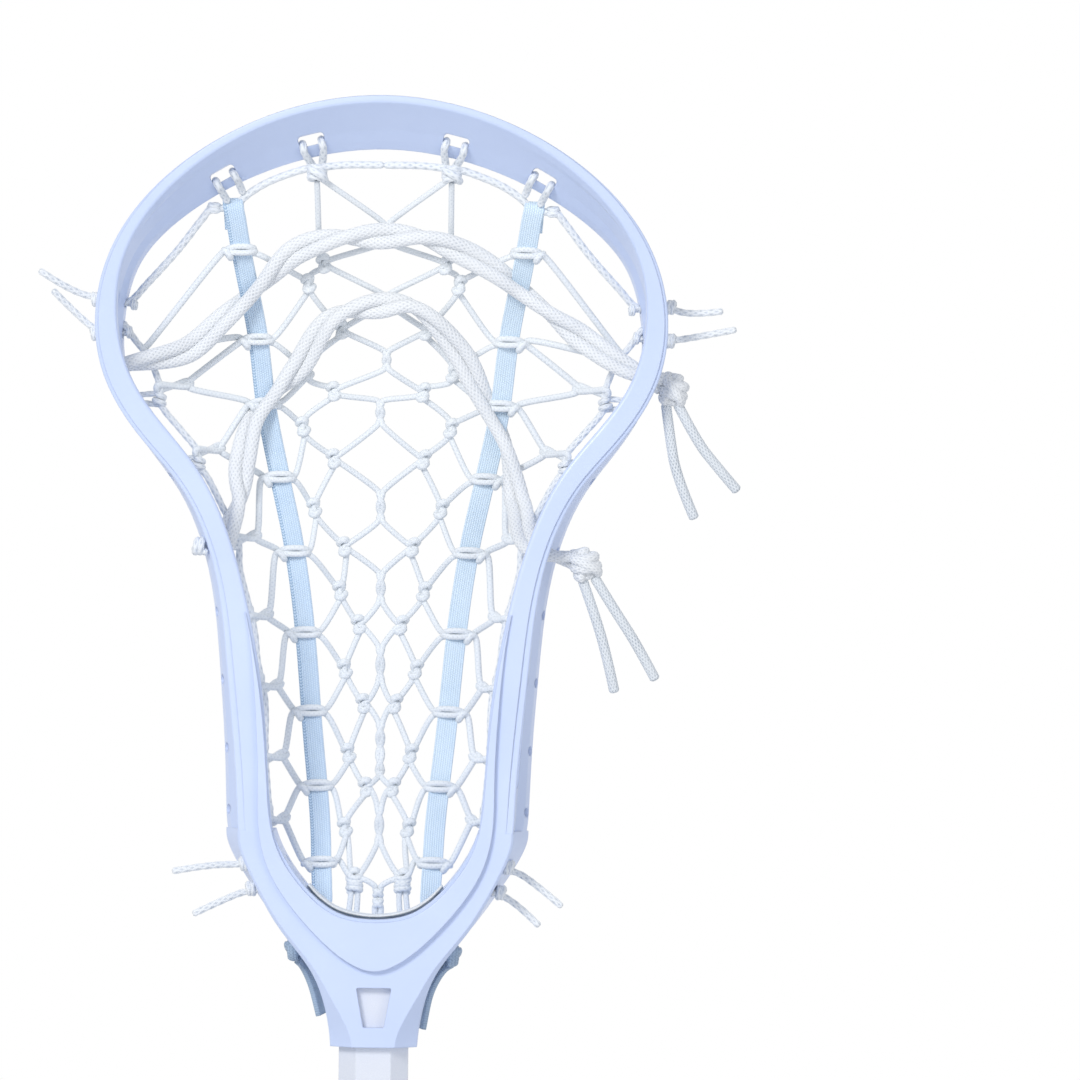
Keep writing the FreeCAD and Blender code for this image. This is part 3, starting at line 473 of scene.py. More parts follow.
def pearl_paint(name, colour, shade):
    """Pearl paint on metal: fine flakes under a clear coat."""
    material, tree, shader = new_material(name)
    flakes = noise(tree, 3800.0, 1.0, 0.4)
    cloud = noise(tree, 9.0, 3.0, 0.5, (1.0, 1.0, 0.12))
    tone = math_node(tree, "MULTIPLY_ADD", flakes, 0.35, math_node(tree, "MULTIPLY", cloud, 0.65))
    paint(tree, shader, tone, [(0.32, shade), (0.62, colour)])
    shader.inputs["Metallic"].default_value = 0.15
    rough = math_node(tree, "MULTIPLY_ADD", flakes, 0.2, 0.26)
    tree.links.new(rough, shader.inputs["Roughness"])
    shader.inputs["Coat Weight"].default_value = 0.6
    shader.inputs["Coat Roughness"].default_value = 0.08
    bump_on_edges(tree, shader, flakes, 0.00001, 0.3, 0.0009)
    return material


def rubber_material(name):
    material, tree, shader = new_material(name)
    speckle = noise(tree, 700.0, 3.0, 0.6)
    dark, light = (0.018, 0.02, 0.024), (0.045, 0.048, 0.055)
    paint(tree, shader, speckle, [(0.35, dark), (0.7, light)])
    shader.inputs["Roughness"].default_value = 0.72
    bump_on_edges(tree, shader, speckle, 0.00008, 0.7, 0.0008)
    return material


def steel_material(name):
    material, tree, shader = new_material(name)
    brush = noise(tree, 900.0, 2.0, 0.5, (1.0, 0.1, 1.0))
    dark, light = (0.36, 0.37, 0.39), (0.62, 0.63, 0.65)
    paint(tree, shader, brush, [(0.3, dark), (0.7, light)])
    shader.inputs["Metallic"].default_value = 1.0
    tree.links.new(math_node(tree, "MULTIPLY_ADD", brush, 0.2, 0.22), shader.inputs["Roughness"])
    bump_on_edges(tree, shader, brush, 0.00001, 0.4, 0.0002)
    return material


# A dark strip's colour: painted shadow, for the gap in front of the ball stop's foam.
def painted_shadow_material(name):
    material, tree, shader = new_material(name)
    cloud = noise(tree, 300.0)
    dark, light = (0.07, 0.10, 0.14), (0.12, 0.16, 0.22)
    paint(tree, shader, cloud, [(0.3, dark), (0.7, light)])
    shader.inputs["Roughness"].default_value = 0.35
    return material


def foam_material(name):
    material, tree, shader = new_material(name)
    coords = tree.nodes.new("ShaderNodeTexCoord")
    cells = add(tree, "ShaderNodeTexVoronoi", i_Scale=1500.0)
    tree.links.new(coords.outputs["Object"], cells.inputs["Vector"])
    light, dark = (0.88, 0.90, 0.92), (0.72, 0.76, 0.80)
    paint(tree, shader, cells.outputs["Distance"], [(0.1, light), (0.9, dark)])
    shader.inputs["Roughness"].default_value = 0.85
    bump(tree, shader, cells.outputs["Distance"], 0.0002, 0.5)
    return material


PLASTIC = moulded_plastic("ice_plastic", (0.605, 0.70, 0.925), (0.56, 0.655, 0.89))
LACE = cord_material("lacing_cord", (0.79, 0.825, 0.855), (0.66, 0.705, 0.75), 3, 7.0, 0.00006)
SOFT_LACE = cord_material("shooting_cord", (0.80, 0.82, 0.84), (0.58, 0.61, 0.65), 9, 4.55, 0.00013)
TAIL_LACE = cord_material("shooting_tail", (0.70, 0.74, 0.78), (0.36, 0.41, 0.47), 9, 4.55, 0.00016)
BRAID = cord_material("braided_cord", (0.80, 0.83, 0.86), (0.54, 0.59, 0.66), 4, 2.94, 0.00014)
WEBBING = webbing_material("runner_webbing", (0.66, 0.795, 0.93), (0.49, 0.64, 0.82), (0.17, 0.33, 0.52))
PLAIN_WEBBING = webbing_material("plain_webbing", (0.72, 0.845, 0.95), (0.58, 0.73, 0.88),
                                (0.60, 0.74, 0.88))
# A darker copy of the runner webbing: painted shade for the runners' knots and ends, which lie in shade
# beside and behind the throat.
SHADED_WEBBING = webbing_material("shaded_webbing", (0.37, 0.48, 0.62), (0.23, 0.32, 0.44), (0.40, 0.52, 0.66))
PAINT = pearl_paint("pearl_paint", (0.80, 0.83, 0.90), (0.70, 0.74, 0.84))
RUBBER = rubber_material("cap_rubber")
STEEL = steel_material("screw_steel")
FOAM = foam_material("stop_foam")
GAP_SHADOW = painted_shadow_material("painted_gap_shadow")

for node, material in (("head_frame", PLASTIC), ("shaft_tube", PAINT), ("end_cap", RUBBER),
                       ("head_screw", STEEL)):
    mesh = NODES[node].data
    mesh.materials.clear()
    mesh.materials.append(material)


# ---------------------------------------------------------------- the runners
def runner_place(side, drop):
    """The centre of a runner at a drop."""
    x = side * smooth(RUNNER_X, drop)
    return on_pocket(x, drop, 1.9)


def runner(side):
    """A strap folded over the top string, laid down the pocket, and through its hole in the throat."""
    top = side * smooth(RUNNER_X, 34)
    line = [pt(top - side * 0.6, 1.9, 43.0), pt(top - side * 0.2, 1.6, 38.0), pt(top, 0.6, 34.6),
            pt(top + side * 0.1, -1.2, 33.6), pt(top, -2.7, 35.4)]
    line += [runner_place(side, d) for d in np.arange(40.0, 250.0, 3.0)]
    line += [pt(side * 17.6, 10.4, 255.0), pt(side * 17.8, 9.0, 260.5), pt(side * 25.4, 7.0, 271.8)]
    line = fair(line, 1.0)
    fall = -line[:, 2]
    into_hole = np.clip((fall - 261.0) / 2.5, 0, 1)
    width = 6.6 - 2.8 * into_hole
    thick = 1.2 + 0.9 * into_hole
    tangent = np.gradient(line, axis=0)
    facing = np.cross(tangent, np.array([1.0, side * 0.15, 0.0]))
    material = WEBBING if side < 0 else PLAIN_WEBBING
    strap = Mesh().strap(line, facing, width, thick, -side)
    return strap.build("runner_strap_" + side_name(side), material, slot="runner_webbing",
                       replaces=["runner_" + side_name(side)])


for side in (-1, 1):
    runner(side)


# ---------------------------------------------------------------- the diamond lacing
def wrap_points(side, row):
    """Twice round the runner from its inner edge and back to it."""
    drop = W_ROWS[row]
    c = runner_place(side, drop)
    steps = [(-4.7, 0.3, -0.7), (-2.7, -1.7, -1.25), (0, -2.0, -1.35), (2.7, -1.7, -1.1), (4.6, 0.0, -0.3),
             (2.0, 1.7, 0.1), (-2.0, 1.7, 0.1), (-4.5, 0.2, 0.1), (-2.7, -1.7, 0.6), (0, -2.0, 0.75),
             (2.7, -1.7, 0.65), (4.7, 0.1, 0.3), (2.0, 1.7, 0.9), (-2.0, 1.7, 0.9), (-4.8, 0.5, 0.9)]
    return [c + np.array([side * x, y, -d]) for x, y, d in steps]


def hook_points(side, row):
    """The outer lace's turn round the wraps, at the runner's outer edge."""
    c = runner_place(side, W_ROWS[row])
    steps = [(6.1, 0.9, -0.8), (4.9, 1.6, 0.5), (3.5, 0.9, 2.3), (3.5, -1.6, 1.9), (4.9, -1.9, 0.2),
             (6.2, -0.6, 0.9)]
    return [c + np.array([side * x, y, -d]) for x, y, d in steps]


def row_place(rows, k, side):
    """A knot's place in a row."""
    drop, left, right = rows[k]
    return on_pocket(left if side < 0 else right, drop)


def through(centre, toward, out=0.9, rise=3.0):
    """A lace's way through the middle of a knot, bowed away from the side that it comes from."""
    return [centre + np.array([toward * out, 0, rise]), centre + np.array([-toward * 0.1, 0, 0]),
            centre + np.array([toward * out, 0, -rise])]


def knot_coil(centre, toward):
    """A figure-of-eight knot: two fat lumps of the lace with a waist between them."""
    points = []
    for i in range(33):
        t = i / 32
        a = 2 * math.pi * 3.6 * t
        end = abs(2 * t - 1)
        lump = 1.0 if t < 0.5 else -1.0
        radius = 0.95 + 0.48 * math.sin(math.pi * min(1.0, end * 1.02))**0.5
        x, y = toward * radius * math.cos(a), -radius * 0.9 * math.sin(a)
        climb = lump * (1.45 + 0.75 * (end - 0.5) + 0.9 * min(0.0, end - 0.2) * 5)
        points.append(centre + np.array([x + toward * 0.35 * lump, y, climb - 0.6 * lump * y + 0.25 * x]))
    return points


def twist_points(k, side):
    """One of the two laces wound round each other in the middle."""
    drop, x, half, turns = TWISTS[k]
    centre = on_pocket(x, drop)
    return coil(centre, side, turns, 2 * half, 0.72, 1.0)


def lay(points):
    """A lace's smooth curve through the points."""
    return fair(points, 0.55)


def end_row(side):
    """Where the laces leave the lowest knots for the throat."""
    drop, left, right = B_ROWS[-1]
    x = left if side < 0 else right
    return [[pt(x + out, 12.8, drop + 4.0), pt(x + out * 1.2, 12.8, drop + 6.0)] for out in (-0.9, 0.9)]


def centre_lacing():
    """The diamonds between the runners: three laces on each side of the middle."""
    mesh = Mesh()
    for side in (-1, 1):
        top = pt(TOP_KNOTS[side][0], -6.0, TOP_KNOTS[side][1])
        left_end, right_end = end_row(side)
        # Beside the middle: knot to twist to knot.
        line = [top + np.array([-side * 0.8, 0, -1.0])]
        for k in range(9):
            line += twist_points(k, side)
            line += through(row_place(B_ROWS, k, side), -side, 1.7, 1.1)
        mesh.tube(lay(line + (left_end if side > 0 else right_end)), LACE_R)
        # Between the two columns of knots.
        line = [top + np.array([0, 0, -2.0])]
        for k in range(9):
            line += knot_coil(row_place(B_ROWS, k, side), side)
            if k < 8:
                line += through(row_place(A_ROWS, k, side), -side)
        mesh.tube(lay(line + (right_end if side > 0 else left_end)), LACE_R)
        # Between the knots and the runner.
        line = wrap_points(side, 0)
        for k in range(8):
            line += knot_coil(row_place(A_ROWS, k, side), side)
            line += wrap_points(side, k + 1)
        mesh.tube(lay(line), LACE_R)
    return mesh.build("lacing_centre", LACE, slot="lacing_cord", replaces=["crosslace_centre"])


def side_lacing(side):
    """The lace between a runner and the wall, and its links to the side string."""
    mesh = Mesh()
    line = []
    for k in range(8):
        drop, x = SIDE_TURNS[k]
        turn = on_pocket(side * x, drop)
        line += hook_points(side, k)
        line += [turn + np.array([-side * 0.5, 0.4, 1.0]), turn + np.array([side * 0.5, 0, 0]),
                 turn + np.array([-side * 0.3, -0.3, -1.2])]
    line += hook_points(side, 8)
    mesh.tube(lay(line), SIDE_LACE_R)
    # Links from each turn to the side string: a pair of strands, crossed once and hooked round the lace.
    for drop, x in SIDE_TURNS[1:]:
        turn = on_pocket(side * x, drop)
        wall = side_string_place(side, drop + 1.5)
        away = wall - turn
        reach = away / np.linalg.norm(away)
        lift = np.array([0, 0, 1.0])
        half = (wall + turn) / 2
        line = [wall - reach * 0.2 - lift * 1.0 + pt(0, 1.4, 0), wall + reach * 1.5 - lift * 0.4,
                wall + reach * 1.2 + lift * 0.9 + pt(0, -0.9, 0),
                wall - reach * 0.6 + lift * 0.9 + pt(0, -1.2, 0),
                half - lift * 0.1 + pt(0, -0.7, 0), turn - lift * 0.9 + pt(0, -0.9, 0),
                turn - reach * 1.5 - lift * 0.1, turn + lift * 0.9 + pt(0, 0.9, 0),
                half + lift * 0.1 + pt(0, 0.7, 0), wall - lift * 0.8 + pt(0, 0.4, 0)]
        mesh.tube(lay(line), SIDE_LACE_R)
    name = side_name(side)
    return mesh.build("lacing_" + name, LACE, slot="lacing_cord", replaces=["crosslace_" + name])


# ---------------------------------------------------------------- side strings
def side_string_place(side, drop):
    """The side string's place at a drop: beside the rail at first, then drawn in to the pocket."""
    x = min(smooth(SIDE_STRING, drop), wall_inside(drop) - 1.6)
    drawn_back = min(1.0, max(0.0, (drop - 122) / 20))
    x += drawn_back * (0.5 - 0.4 * side)
    beside_rail = smooth(RAIL_DEPTH, drop) - 3.0
    return pt(side * x, beside_rail + (pocket(x, drop) - beside_rail) * drawn_back, drop)


def side_string(side):
    """The braided cord inside a wall, with its hitches."""
    mesh = Mesh()
    line = [pt(side * 84.0, smooth(RAIL_DEPTH, 73) - HOLE_INSET, 73.0)]
    line += [side_string_place(side, d) for d, x in SIDE_STRING]
    mesh.braid(line, 1.1)
    # Hitches that hold it to the holes in the rail.
    for drop in (97.5, 118.0, 144.0, 166.0, 188.0, 210.0, 230.0):
        here = side_string_place(side, drop)
        rail = pt(side * (wall_inside(drop) + 2.4), smooth(RAIL_DEPTH, drop) - HOLE_INSET, drop)
        out = (rail - here) / max(np.linalg.norm(rail - here), 0.1)
        up = np.array([0, 0, 1.0])
        if drop > 140:
            line = [rail + up * 0.9, here + up * 1.2, here - out * 0.4, here - up * 1.2, rail - up * 0.9]
            mesh.braid(line, 0.95)
            continue
        line = [rail + up * 0.6, here + out * 1.2 + up * 1.4, here + pt(0, -1.7, 0) + up * 0.9,
                here - out * 1.6 + up * 0.2, here + pt(0, 1.7, 0) - up * 0.5, here + out * 1.6 - up * 0.6,
                here + pt(0, -1.7, 0) - up * 1.2, here - out * 1.5 - up * 1.7,
                here + pt(0, 1.6, 0) - up * 2.0, rail - up * 1.0]
        mesh.braid(line, 0.95)
    name = side_name(side)
    return mesh.build("side_string_" + name, BRAID, slot="lacing_cord", replaces=["sidewall_string_" + name])


# ---------------------------------------------------------------- top string
# A loop through a scoop slot and round the strip behind it, as (distance inwards from the slot, y).
INNER_LOOP = [(9.6, -5.6), (7.6, -6.0), (6.2, -7.2), (5.2, -9.0), (3.4, -11.7), (2.0, -12.9), (0.7, -11.6),
              (0.4, -8.6), (1.2, -5.8), (3.0, -4.4), (5.4, -4.3), (7.4, -4.6), (9.6, -5.0)]
OUTER_LOOP = [(8.2, -2.8), (6.2, -4.4), (5.2, -6.0), (3.9, -8.2), (2.7, -10.2), (1.4, -10.6), (0.5, -8.6),
              (0.5, -5.2), (1.5, -2.9), (3.4, -2.2), (5.2, -2.4), (6.6, -2.6), (8.2, -2.4)]


def slot_loop(mesh, slot, along, section, pull=0.0):
    """One turn of cord round the strip between a slot and the scoop's edge. pull draws its foot aside."""
    x, drop, angle = slot
    a = math.radians(angle)
    points = []
    last = section[0][0]
    for inwards, y in section:
        u = along + pull * max(0.0, (inwards - 4.0) / (last - 4.0))
        points.append(pt(x + u * math.cos(a) - inwards * math.sin(a), y,
                         drop + u * math.sin(a) + inwards * math.cos(a)))
    mesh.braid(points, CORD_R)


def top_string():
    """The braided cord across the scoop, with its knots and its loops through the slots."""
    mesh = Mesh()
    for side in (-1, 1):
        kx, kd = TOP_KNOTS[side]
        # From the middle, through the inner knot, behind the runner's fold and down to the rail.
        line = [pt(0, -6.4, 22.2), pt(side * 12, -6.5, 22.3), pt(kx - side * 3.0, -7.2, 23.0),
                pt(kx, -8.2, 23.4), pt(kx + side * 3.0, -6.6, 23.6), pt(side * 30, -5.4, 25.2),
                pt(side * 38, -3.6, 28.4), pt(side * 44.5, -2.2, 32.6), pt(side * 47.5, -0.9, 35.6),
                pt(side * 51.5, -0.9, 36.4), pt(side * 55.5, -2.4, 36.8), pt(side * 58.5, -1.2, 40.2),
                pt(side * 66, 1.2, 49.8), pt(side * 76, 4.2, 60.8), pt(side * 81.5, 5.8, 66.4),
                pt(side * 85.5, 6.2, 67.0)]
        mesh.braid(line, CORD_R)
        # The inner knot: turns of the string round itself under the slot.
        turns = coil(pt(kx, -6.6, kd), side, 2.5, 3.6, 2.2, 0.85, lean=0.3)
        over = [pt(kx - 3.0, -6.0, kd - 2.6), pt(kx - 1.2, -9.9, kd - 0.9), pt(kx + 1.6, -9.7, kd + 0.6),
                pt(kx + 2.9, -6.4, kd + 2.2)]
        for line in (turns, over):
            mesh.braid(line, CORD_R)
        # The knot beside the runner's top.
        foot = pt(side * 54.6, -1.8, 36.4)
        mesh.braid(coil(foot, side, 2, 2.6, 1.3, 0.9, lean=-0.4), CORD_R * 0.9)
    for slot in SCOOP_SLOTS:
        side = 1 if slot[0] > 0 else -1
        inner = abs(slot[0]) < 40
        for along in (-3.1, 3.1):
            foot = -0.75 * along if inner else (0.0 if along * side > 0 else -0.2 * along)
            slot_loop(mesh, slot, along, INNER_LOOP if inner else OUTER_LOOP, foot)
    return mesh.build("scoop_string", BRAID, slot="lacing_cord", replaces=["top_string"])


# ---------------------------------------------------------------- strings across the throat
def bottom_strings():
    """The lowest knots and the strands that hold the pocket to the throat."""
    mesh = Mesh()
    for side in (-1, 1):
        drop, left, right = B_ROWS[-1]
        x = left if side < 0 else right
        knot = pt(x, 12.6, drop)
        # A second, lower turn to each of the last knots, and the doubled ends that hold them to the throat.
        mesh.tube(lay(coil(knot + pt(0, 0, 0.3), side, 2, 2.6, 2.0, 0.9, lean=-0.5)), LACE_R)
        mesh.tube(lay(coil(knot + pt(0, 0, 3.4), side, 2, 2.6, 2.0, 0.9, lean=0.2)), LACE_R)
        for out in (-1.0, 1.0):
            mesh.tube(lay([knot + pt(out * 0.9, 0.2, 3.0), pt(x + out * 1.1, 12.8, drop + 6.0),
                           pt(x + out * 1.3 + side * 0.6, 13.0, 264.6)]), LACE_R)
        # The strand that comes down to it from the last wrap of the runner.
        mesh.tube(lay([on_pocket(side * 14.0, 245.4), on_pocket(side * 12.2, 246.4),
                       knot + pt(side * 1.6, -0.9, -0.6), knot + pt(-side * 0.6, -1.3, 0.7)]), LACE_R)
        # The link to the middle and its twisted tail.
        line = [knot + pt(-side * 0.4, -0.6, 0.6), pt(x - side * 3.0, 11.8, drop + 0.6),
                pt(0.5 + side * 2.0, 12.0, 253.6), pt(0.5 + side * 0.9, 12.2, 254.6)]
        line += coil(pt(0.5, 12.4, 258.2), side, 1.5, 5.6, 0.95, 1.0)
        line += [pt(0.5 - side * 0.9, 12.8, 264.4)]
        mesh.tube(lay(line), LACE_R)
    return mesh.build("throat_string", LACE, slot="lacing_cord", replaces=["bottom_string"])


def stop_strip(name, half, middle, y, width, thick, material, replaces=()):
    """A strip along the bottom of the throat, on edge, from its (x, drop) places."""
    places = [(-x, d) for x, d in reversed(half)] + [(0, middle)] + half
    line = fair([pt(x, y, d) for x, d in places])
    facing = np.cross(np.gradient(line, axis=0), np.array([0.0, 1.0, 0.0]))
    Mesh().strap(line, facing, width, thick).build(name, material, slot="foam", replaces=replaces)


# The ball stop's foam, and a dark strip along its front: painted shadow for the gap in front of the foam.
stop_strip("stop_foam", [(11.4, 261.2), (17.6, 257.3), (21.4, 253.4)], 263.2, -3.0, 11.0, 0.7, FOAM,
           ["ball_stop"])
stop_strip("stop_gap_shadow", [(11.6, 261.65), (17.9, 257.7), (21.7, 253.6)], 263.75, -9.0, 1.0, 0.36, GAP_SHADOW)


centre_lacing()
for side in (-1, 1):
    side_lacing(side)
    side_string(side)
top_string()
bottom_strings()

# ---------------------------------------------------------------- shooting strings
# Where each pair crosses the pocket, (x, drop), and how far it has rolled there, in half turns.
UPPER_SHOOTER = [(-62.6, 81.4, 0.0), (-51.7, 71.7, 0.2), (-39.0, 60.3, 0.5), (-28.1, 50.0, 0.9),
                 (-16.8, 45.9, 1.3), (-2.3, 44.8, 1.9), (12.1, 44.9, 2.5), (23.4, 48.7, 2.9),
                 (35.2, 54.8, 3.2), (52.4, 67.6, 3.5), (66.0, 77.8, 4.0)]
LOWER_SHOOTER = [(-46.4, 130.2, -0.4), (-45.3, 117.3, 0.0), (-41.9, 103.8, 0.3), (-34.0, 94.0, 0.5),
                 (-27.7, 87.0, 0.8), (-16.6, 70.9, 1.3), (-2.3, 66.8, 1.9), (9.4, 66.8, 2.5),
                 (23.9, 80.4, 2.9), (32.7, 96.8, 3.3), (40.2, 112.1, 3.5), (44.7, 132.3, 3.9)]


def shooter(name, crossing, entry, leave, node):
    """Two knitted laces rolled round each other: one goes behind each runner and the other in front."""
    spine = [pt(*entry[:3])] + [on_pocket(x, d) for x, d, roll in crossing] + [pt(*p[:3]) for p in leave]
    rolls = [entry[3]] + [roll for x, d, roll in crossing] + [p[3] for p in leave]
    lifts = [entry[4]] + [5.4] * len(crossing) + [p[4] for p in leave]
    dense = fair(spine, 0.4)
    stations = [0.0]
    for point in spine[1:-1]:
        stations.append(float(np.argmin(np.linalg.norm(dense - point, axis=1))))
    stations.append(len(dense) - 1.0)
    index = np.arange(len(dense))
    roll = np.array([smooth(list(zip(stations, rolls)), t) for t in index]) * math.pi
    lift = np.array([smooth(list(zip(stations, lifts)), t) for t in index])
    tangent = np.gradient(dense, axis=0)
    tangent /= np.linalg.norm(tangent, axis=1)[:, None]
    front_way = np.array([0.0, -1.0, 0.0]) - tangent * (-tangent[:, 1:2])
    front_way /= np.linalg.norm(front_way, axis=1)[:, None]
    across = np.cross(tangent, front_way)
    runner_gap = np.array([abs(abs(p[0]) - smooth(RUNNER_X, -p[2])) for p in dense])
    weave = np.exp(-(runner_gap / 5.0) ** 2) * (np.abs(dense[:, 2]) > 50)
    centre = dense + front_way * (lift - 3.3 * weave)[:, None]
    mesh = Mesh()
    for sign in (-1, 1):
        offset = (across * (2.1 * np.cos(roll))[:, None] * sign
                  + front_way * ((1.35 + 2.1 * weave) * np.sin(roll))[:, None] * sign)
        line = even(centre + offset, 0.4)
        mesh.tube(line, 2.2, 30, flat=0.74, braid=(9, 2.2, 0.11))
    return mesh.build(name, SOFT_LACE, slot="shooting_cord", replaces=[node])


shooter("shooter_lace_upper", UPPER_SHOOTER, (-83.5, 1.5, 87.0, -0.5, 0.0),
        [(79.5, 1.5, 86.6, 4.3, 0.0), (91.0, 1.8, 91.5, 4.8, 0.0)], "shooting_string_upper")
shooter("shooter_lace_lower", LOWER_SHOOTER, (-51.5, 14.0, 145.4, -0.9, 0.0),
        [(49.5, 5.5, 144.8, 4.3, 0.0), (63.0, 3.0, 148.5, 4.7, 0.0)], "shooting_string_lower")


def barrel_knot(name, centre, radius, height, tilt, strand, node):
    """A tied knot: two fat turns of doubled lace, with a third drawn across its face."""
    mesh = Mesh()
    tilt = math.radians(tilt)
    axis = np.array([math.sin(tilt), 0.0, math.cos(tilt)])
    side_way = np.array([axis[2], 0.0, -axis[0]])
    deep = np.array([0.0, 1.0, 0.0])

    def place(across, depth, along):
        return centre + side_way * across + deep * depth + axis * along

    line = []
    for i in range(29):
        t = i / 28
        a = 2 * math.pi * 2.3 * t + 2.4
        swell = radius * (0.86 + 0.14 * math.sin(math.pi * t))
        line.append(place(swell * math.cos(a), swell * math.sin(a), height * (0.5 - t) + 0.8 * math.sin(a)))
    mesh.tube(fair(line, 0.4), strand, 30, flat=0.9, braid=SHOOTER_BRAID)
    reach = radius + strand * 0.3
    over = [(-radius * 0.7, 1.2, height * 0.72), (-radius * 0.85, -reach * 0.55, height * 0.42),
            (-radius * 0.25, -reach, height * 0.12), (radius * 0.45, -reach * 0.98, -height * 0.2),
            (radius * 0.95, -reach * 0.5, -height * 0.45), (radius * 0.8, 1.0, -height * 0.62)]
    mesh.tube(fair([place(*p) for p in over], 0.4), strand * 0.95, 30, flat=0.85, braid=SHOOTER_BRAID)
    core = [(0.0, 0.4, height * 0.85), (0.0, 0.2, 0.0), (0.0, 0.4, -height * 0.8)]
    mesh.tube(fair([place(*p) for p in core], 0.4), strand * 1.25, 30, braid=SHOOTER_BRAID)
    return mesh.build(name, SOFT_LACE, slot="shooting_cord", replaces=[node])


barrel_knot("knot_upper", pt(94.0, 2.0, 93.2), 3.0, 6.4, 10.0, 2.0, "shooter_knot_upper")
barrel_knot("knot_lower", pt(66.2, 3.0, 149.5), 3.3, 6.4, -16.0, 2.0, "shooter_knot_lower")


# ---------------------------------------------------------------- loose tails
def cord_line(name, places):
    """Points along the smooth open curve that the tail's route points control."""
    curve = bpy.data.curves.new(name + "_line", "CURVE")
    curve.dimensions = "3D"
    spline = curve.splines.new("NURBS")
    spline.points.add(len(places) - 1)
    for point, (x, y, drop) in zip(spline.points, places):
        point.co = (x * MM, y * MM, SCOOP_TIP - drop * MM, 1.0)
    spline.order_u = 3
    spline.use_endpoint_u = True
    spline.resolution_u = 24
    holder = bpy.data.objects.new(name + "_line", curve)
    link(holder)
    bpy.context.view_layer.update()
    graph = bpy.context.evaluated_depsgraph_get()
    mesh = bpy.data.meshes.new_from_object(holder.evaluated_get(graph))
    line = [v.co.copy() for v in mesh.vertices]
    bpy.data.objects.remove(holder)
    bpy.data.meshes.remove(mesh)
    return line


def tail(name, places, diameter, material, slot, braid):
    """A loose end of cord, narrowed at both ends."""
    line = cord_line(name, places)
    points = np.array([[p.x / MM, p.y / MM, (p.z - SCOOP_TIP) / MM] for p in line])
    mesh = Mesh()
    mesh.tube(even(points, 0.35), diameter / 2, 24, braid=braid)
    piece = mesh.build(name + "_cord", material, slot=slot, replaces=[name])
    path = even(points, 1.0)
    path = [(x * MM, y * MM, z * MM + SCOOP_TIP) for x, y, z in path]
    return piece


THICK_TAILS = {
    "shooter_tail_upper_1": [(91.5, 2.0, 97.5), (93.0, 1.5, 109.0), (95.2, 1.5, 121.0), (101.2, 2, 134.6)],
    "shooter_tail_upper_2": [(95.2, 2.0, 97.5), (101.5, 1.0, 109.5), (108.0, 1.0, 117.5), (115, 2, 125.5)],
    "shooter_tail_lower_1": [(65.3, 3.0, 154.5), (69.5, 2.2, 166.0), (73.2, 2.0, 178.0), (76.1, 3, 190.8)],
    "shooter_tail_lower_2": [(69.1, 3.0, 153.6), (76.0, 2.0, 164.6), (83.0, 2.0, 175.0), (89.3, 3, 186.6)],
}
THIN_TAILS = {
    "tail_top_left_1": [(-79.0, 6.2, 67.4), (-91.0, 6.2, 66.0), (-101.2, 5.0, 63.2), (-110.8, 3, 56.9)],
    "tail_top_left_2": [(-80.6, 9.1, 76.4), (-91.0, 9.1, 77.3), (-99.2, 8.0, 70.6), (-106.6, 6, 63.1)],
    "tail_top_right_1": [(79.0, 6.2, 67.4), (91.5, 6.2, 66.1), (98.5, 6.0, 69.0), (109.6, 4, 67.5)],
    "tail_top_right_2": [(80.6, 9.1, 76.4), (91.5, 9.1, 77.4), (101.5, 8.5, 75.8), (114.0, 6, 73.3)],
    "tail_bottom_left_1": [(-30.5, 6.0, 246.3), (-43.0, 6.0, 247.6), (-54.0, 5.0, 247.8), (-65.8, 4, 250)],
    "tail_bottom_left_2": [(-27.0, 6.0, 253.7), (-41.0, 6.0, 255.6), (-50.0, 5.5, 259.4), (-59.0, 5, 263.8)],
    "tail_bottom_right_1": [(30.5, 6.0, 246.3), (43.3, 6.0, 247.7), (52.0, 5.0, 253.2), (60.0, 4, 260)],
    "tail_bottom_right_2": [(25.5, 6.0, 253.5), (35.5, 6.0, 254.8), (44.6, 5.6, 258.2), (52.8, 5, 266.4)],
}
for name, places in THICK_TAILS.items():
    tail(name, places, 3.3, TAIL_LACE, "shooting_cord", SHOOTER_BRAID)
for name, places in THIN_TAILS.items():
    tail(name, places, 2.2, BRAID, "lacing_cord", CORD_BRAID)


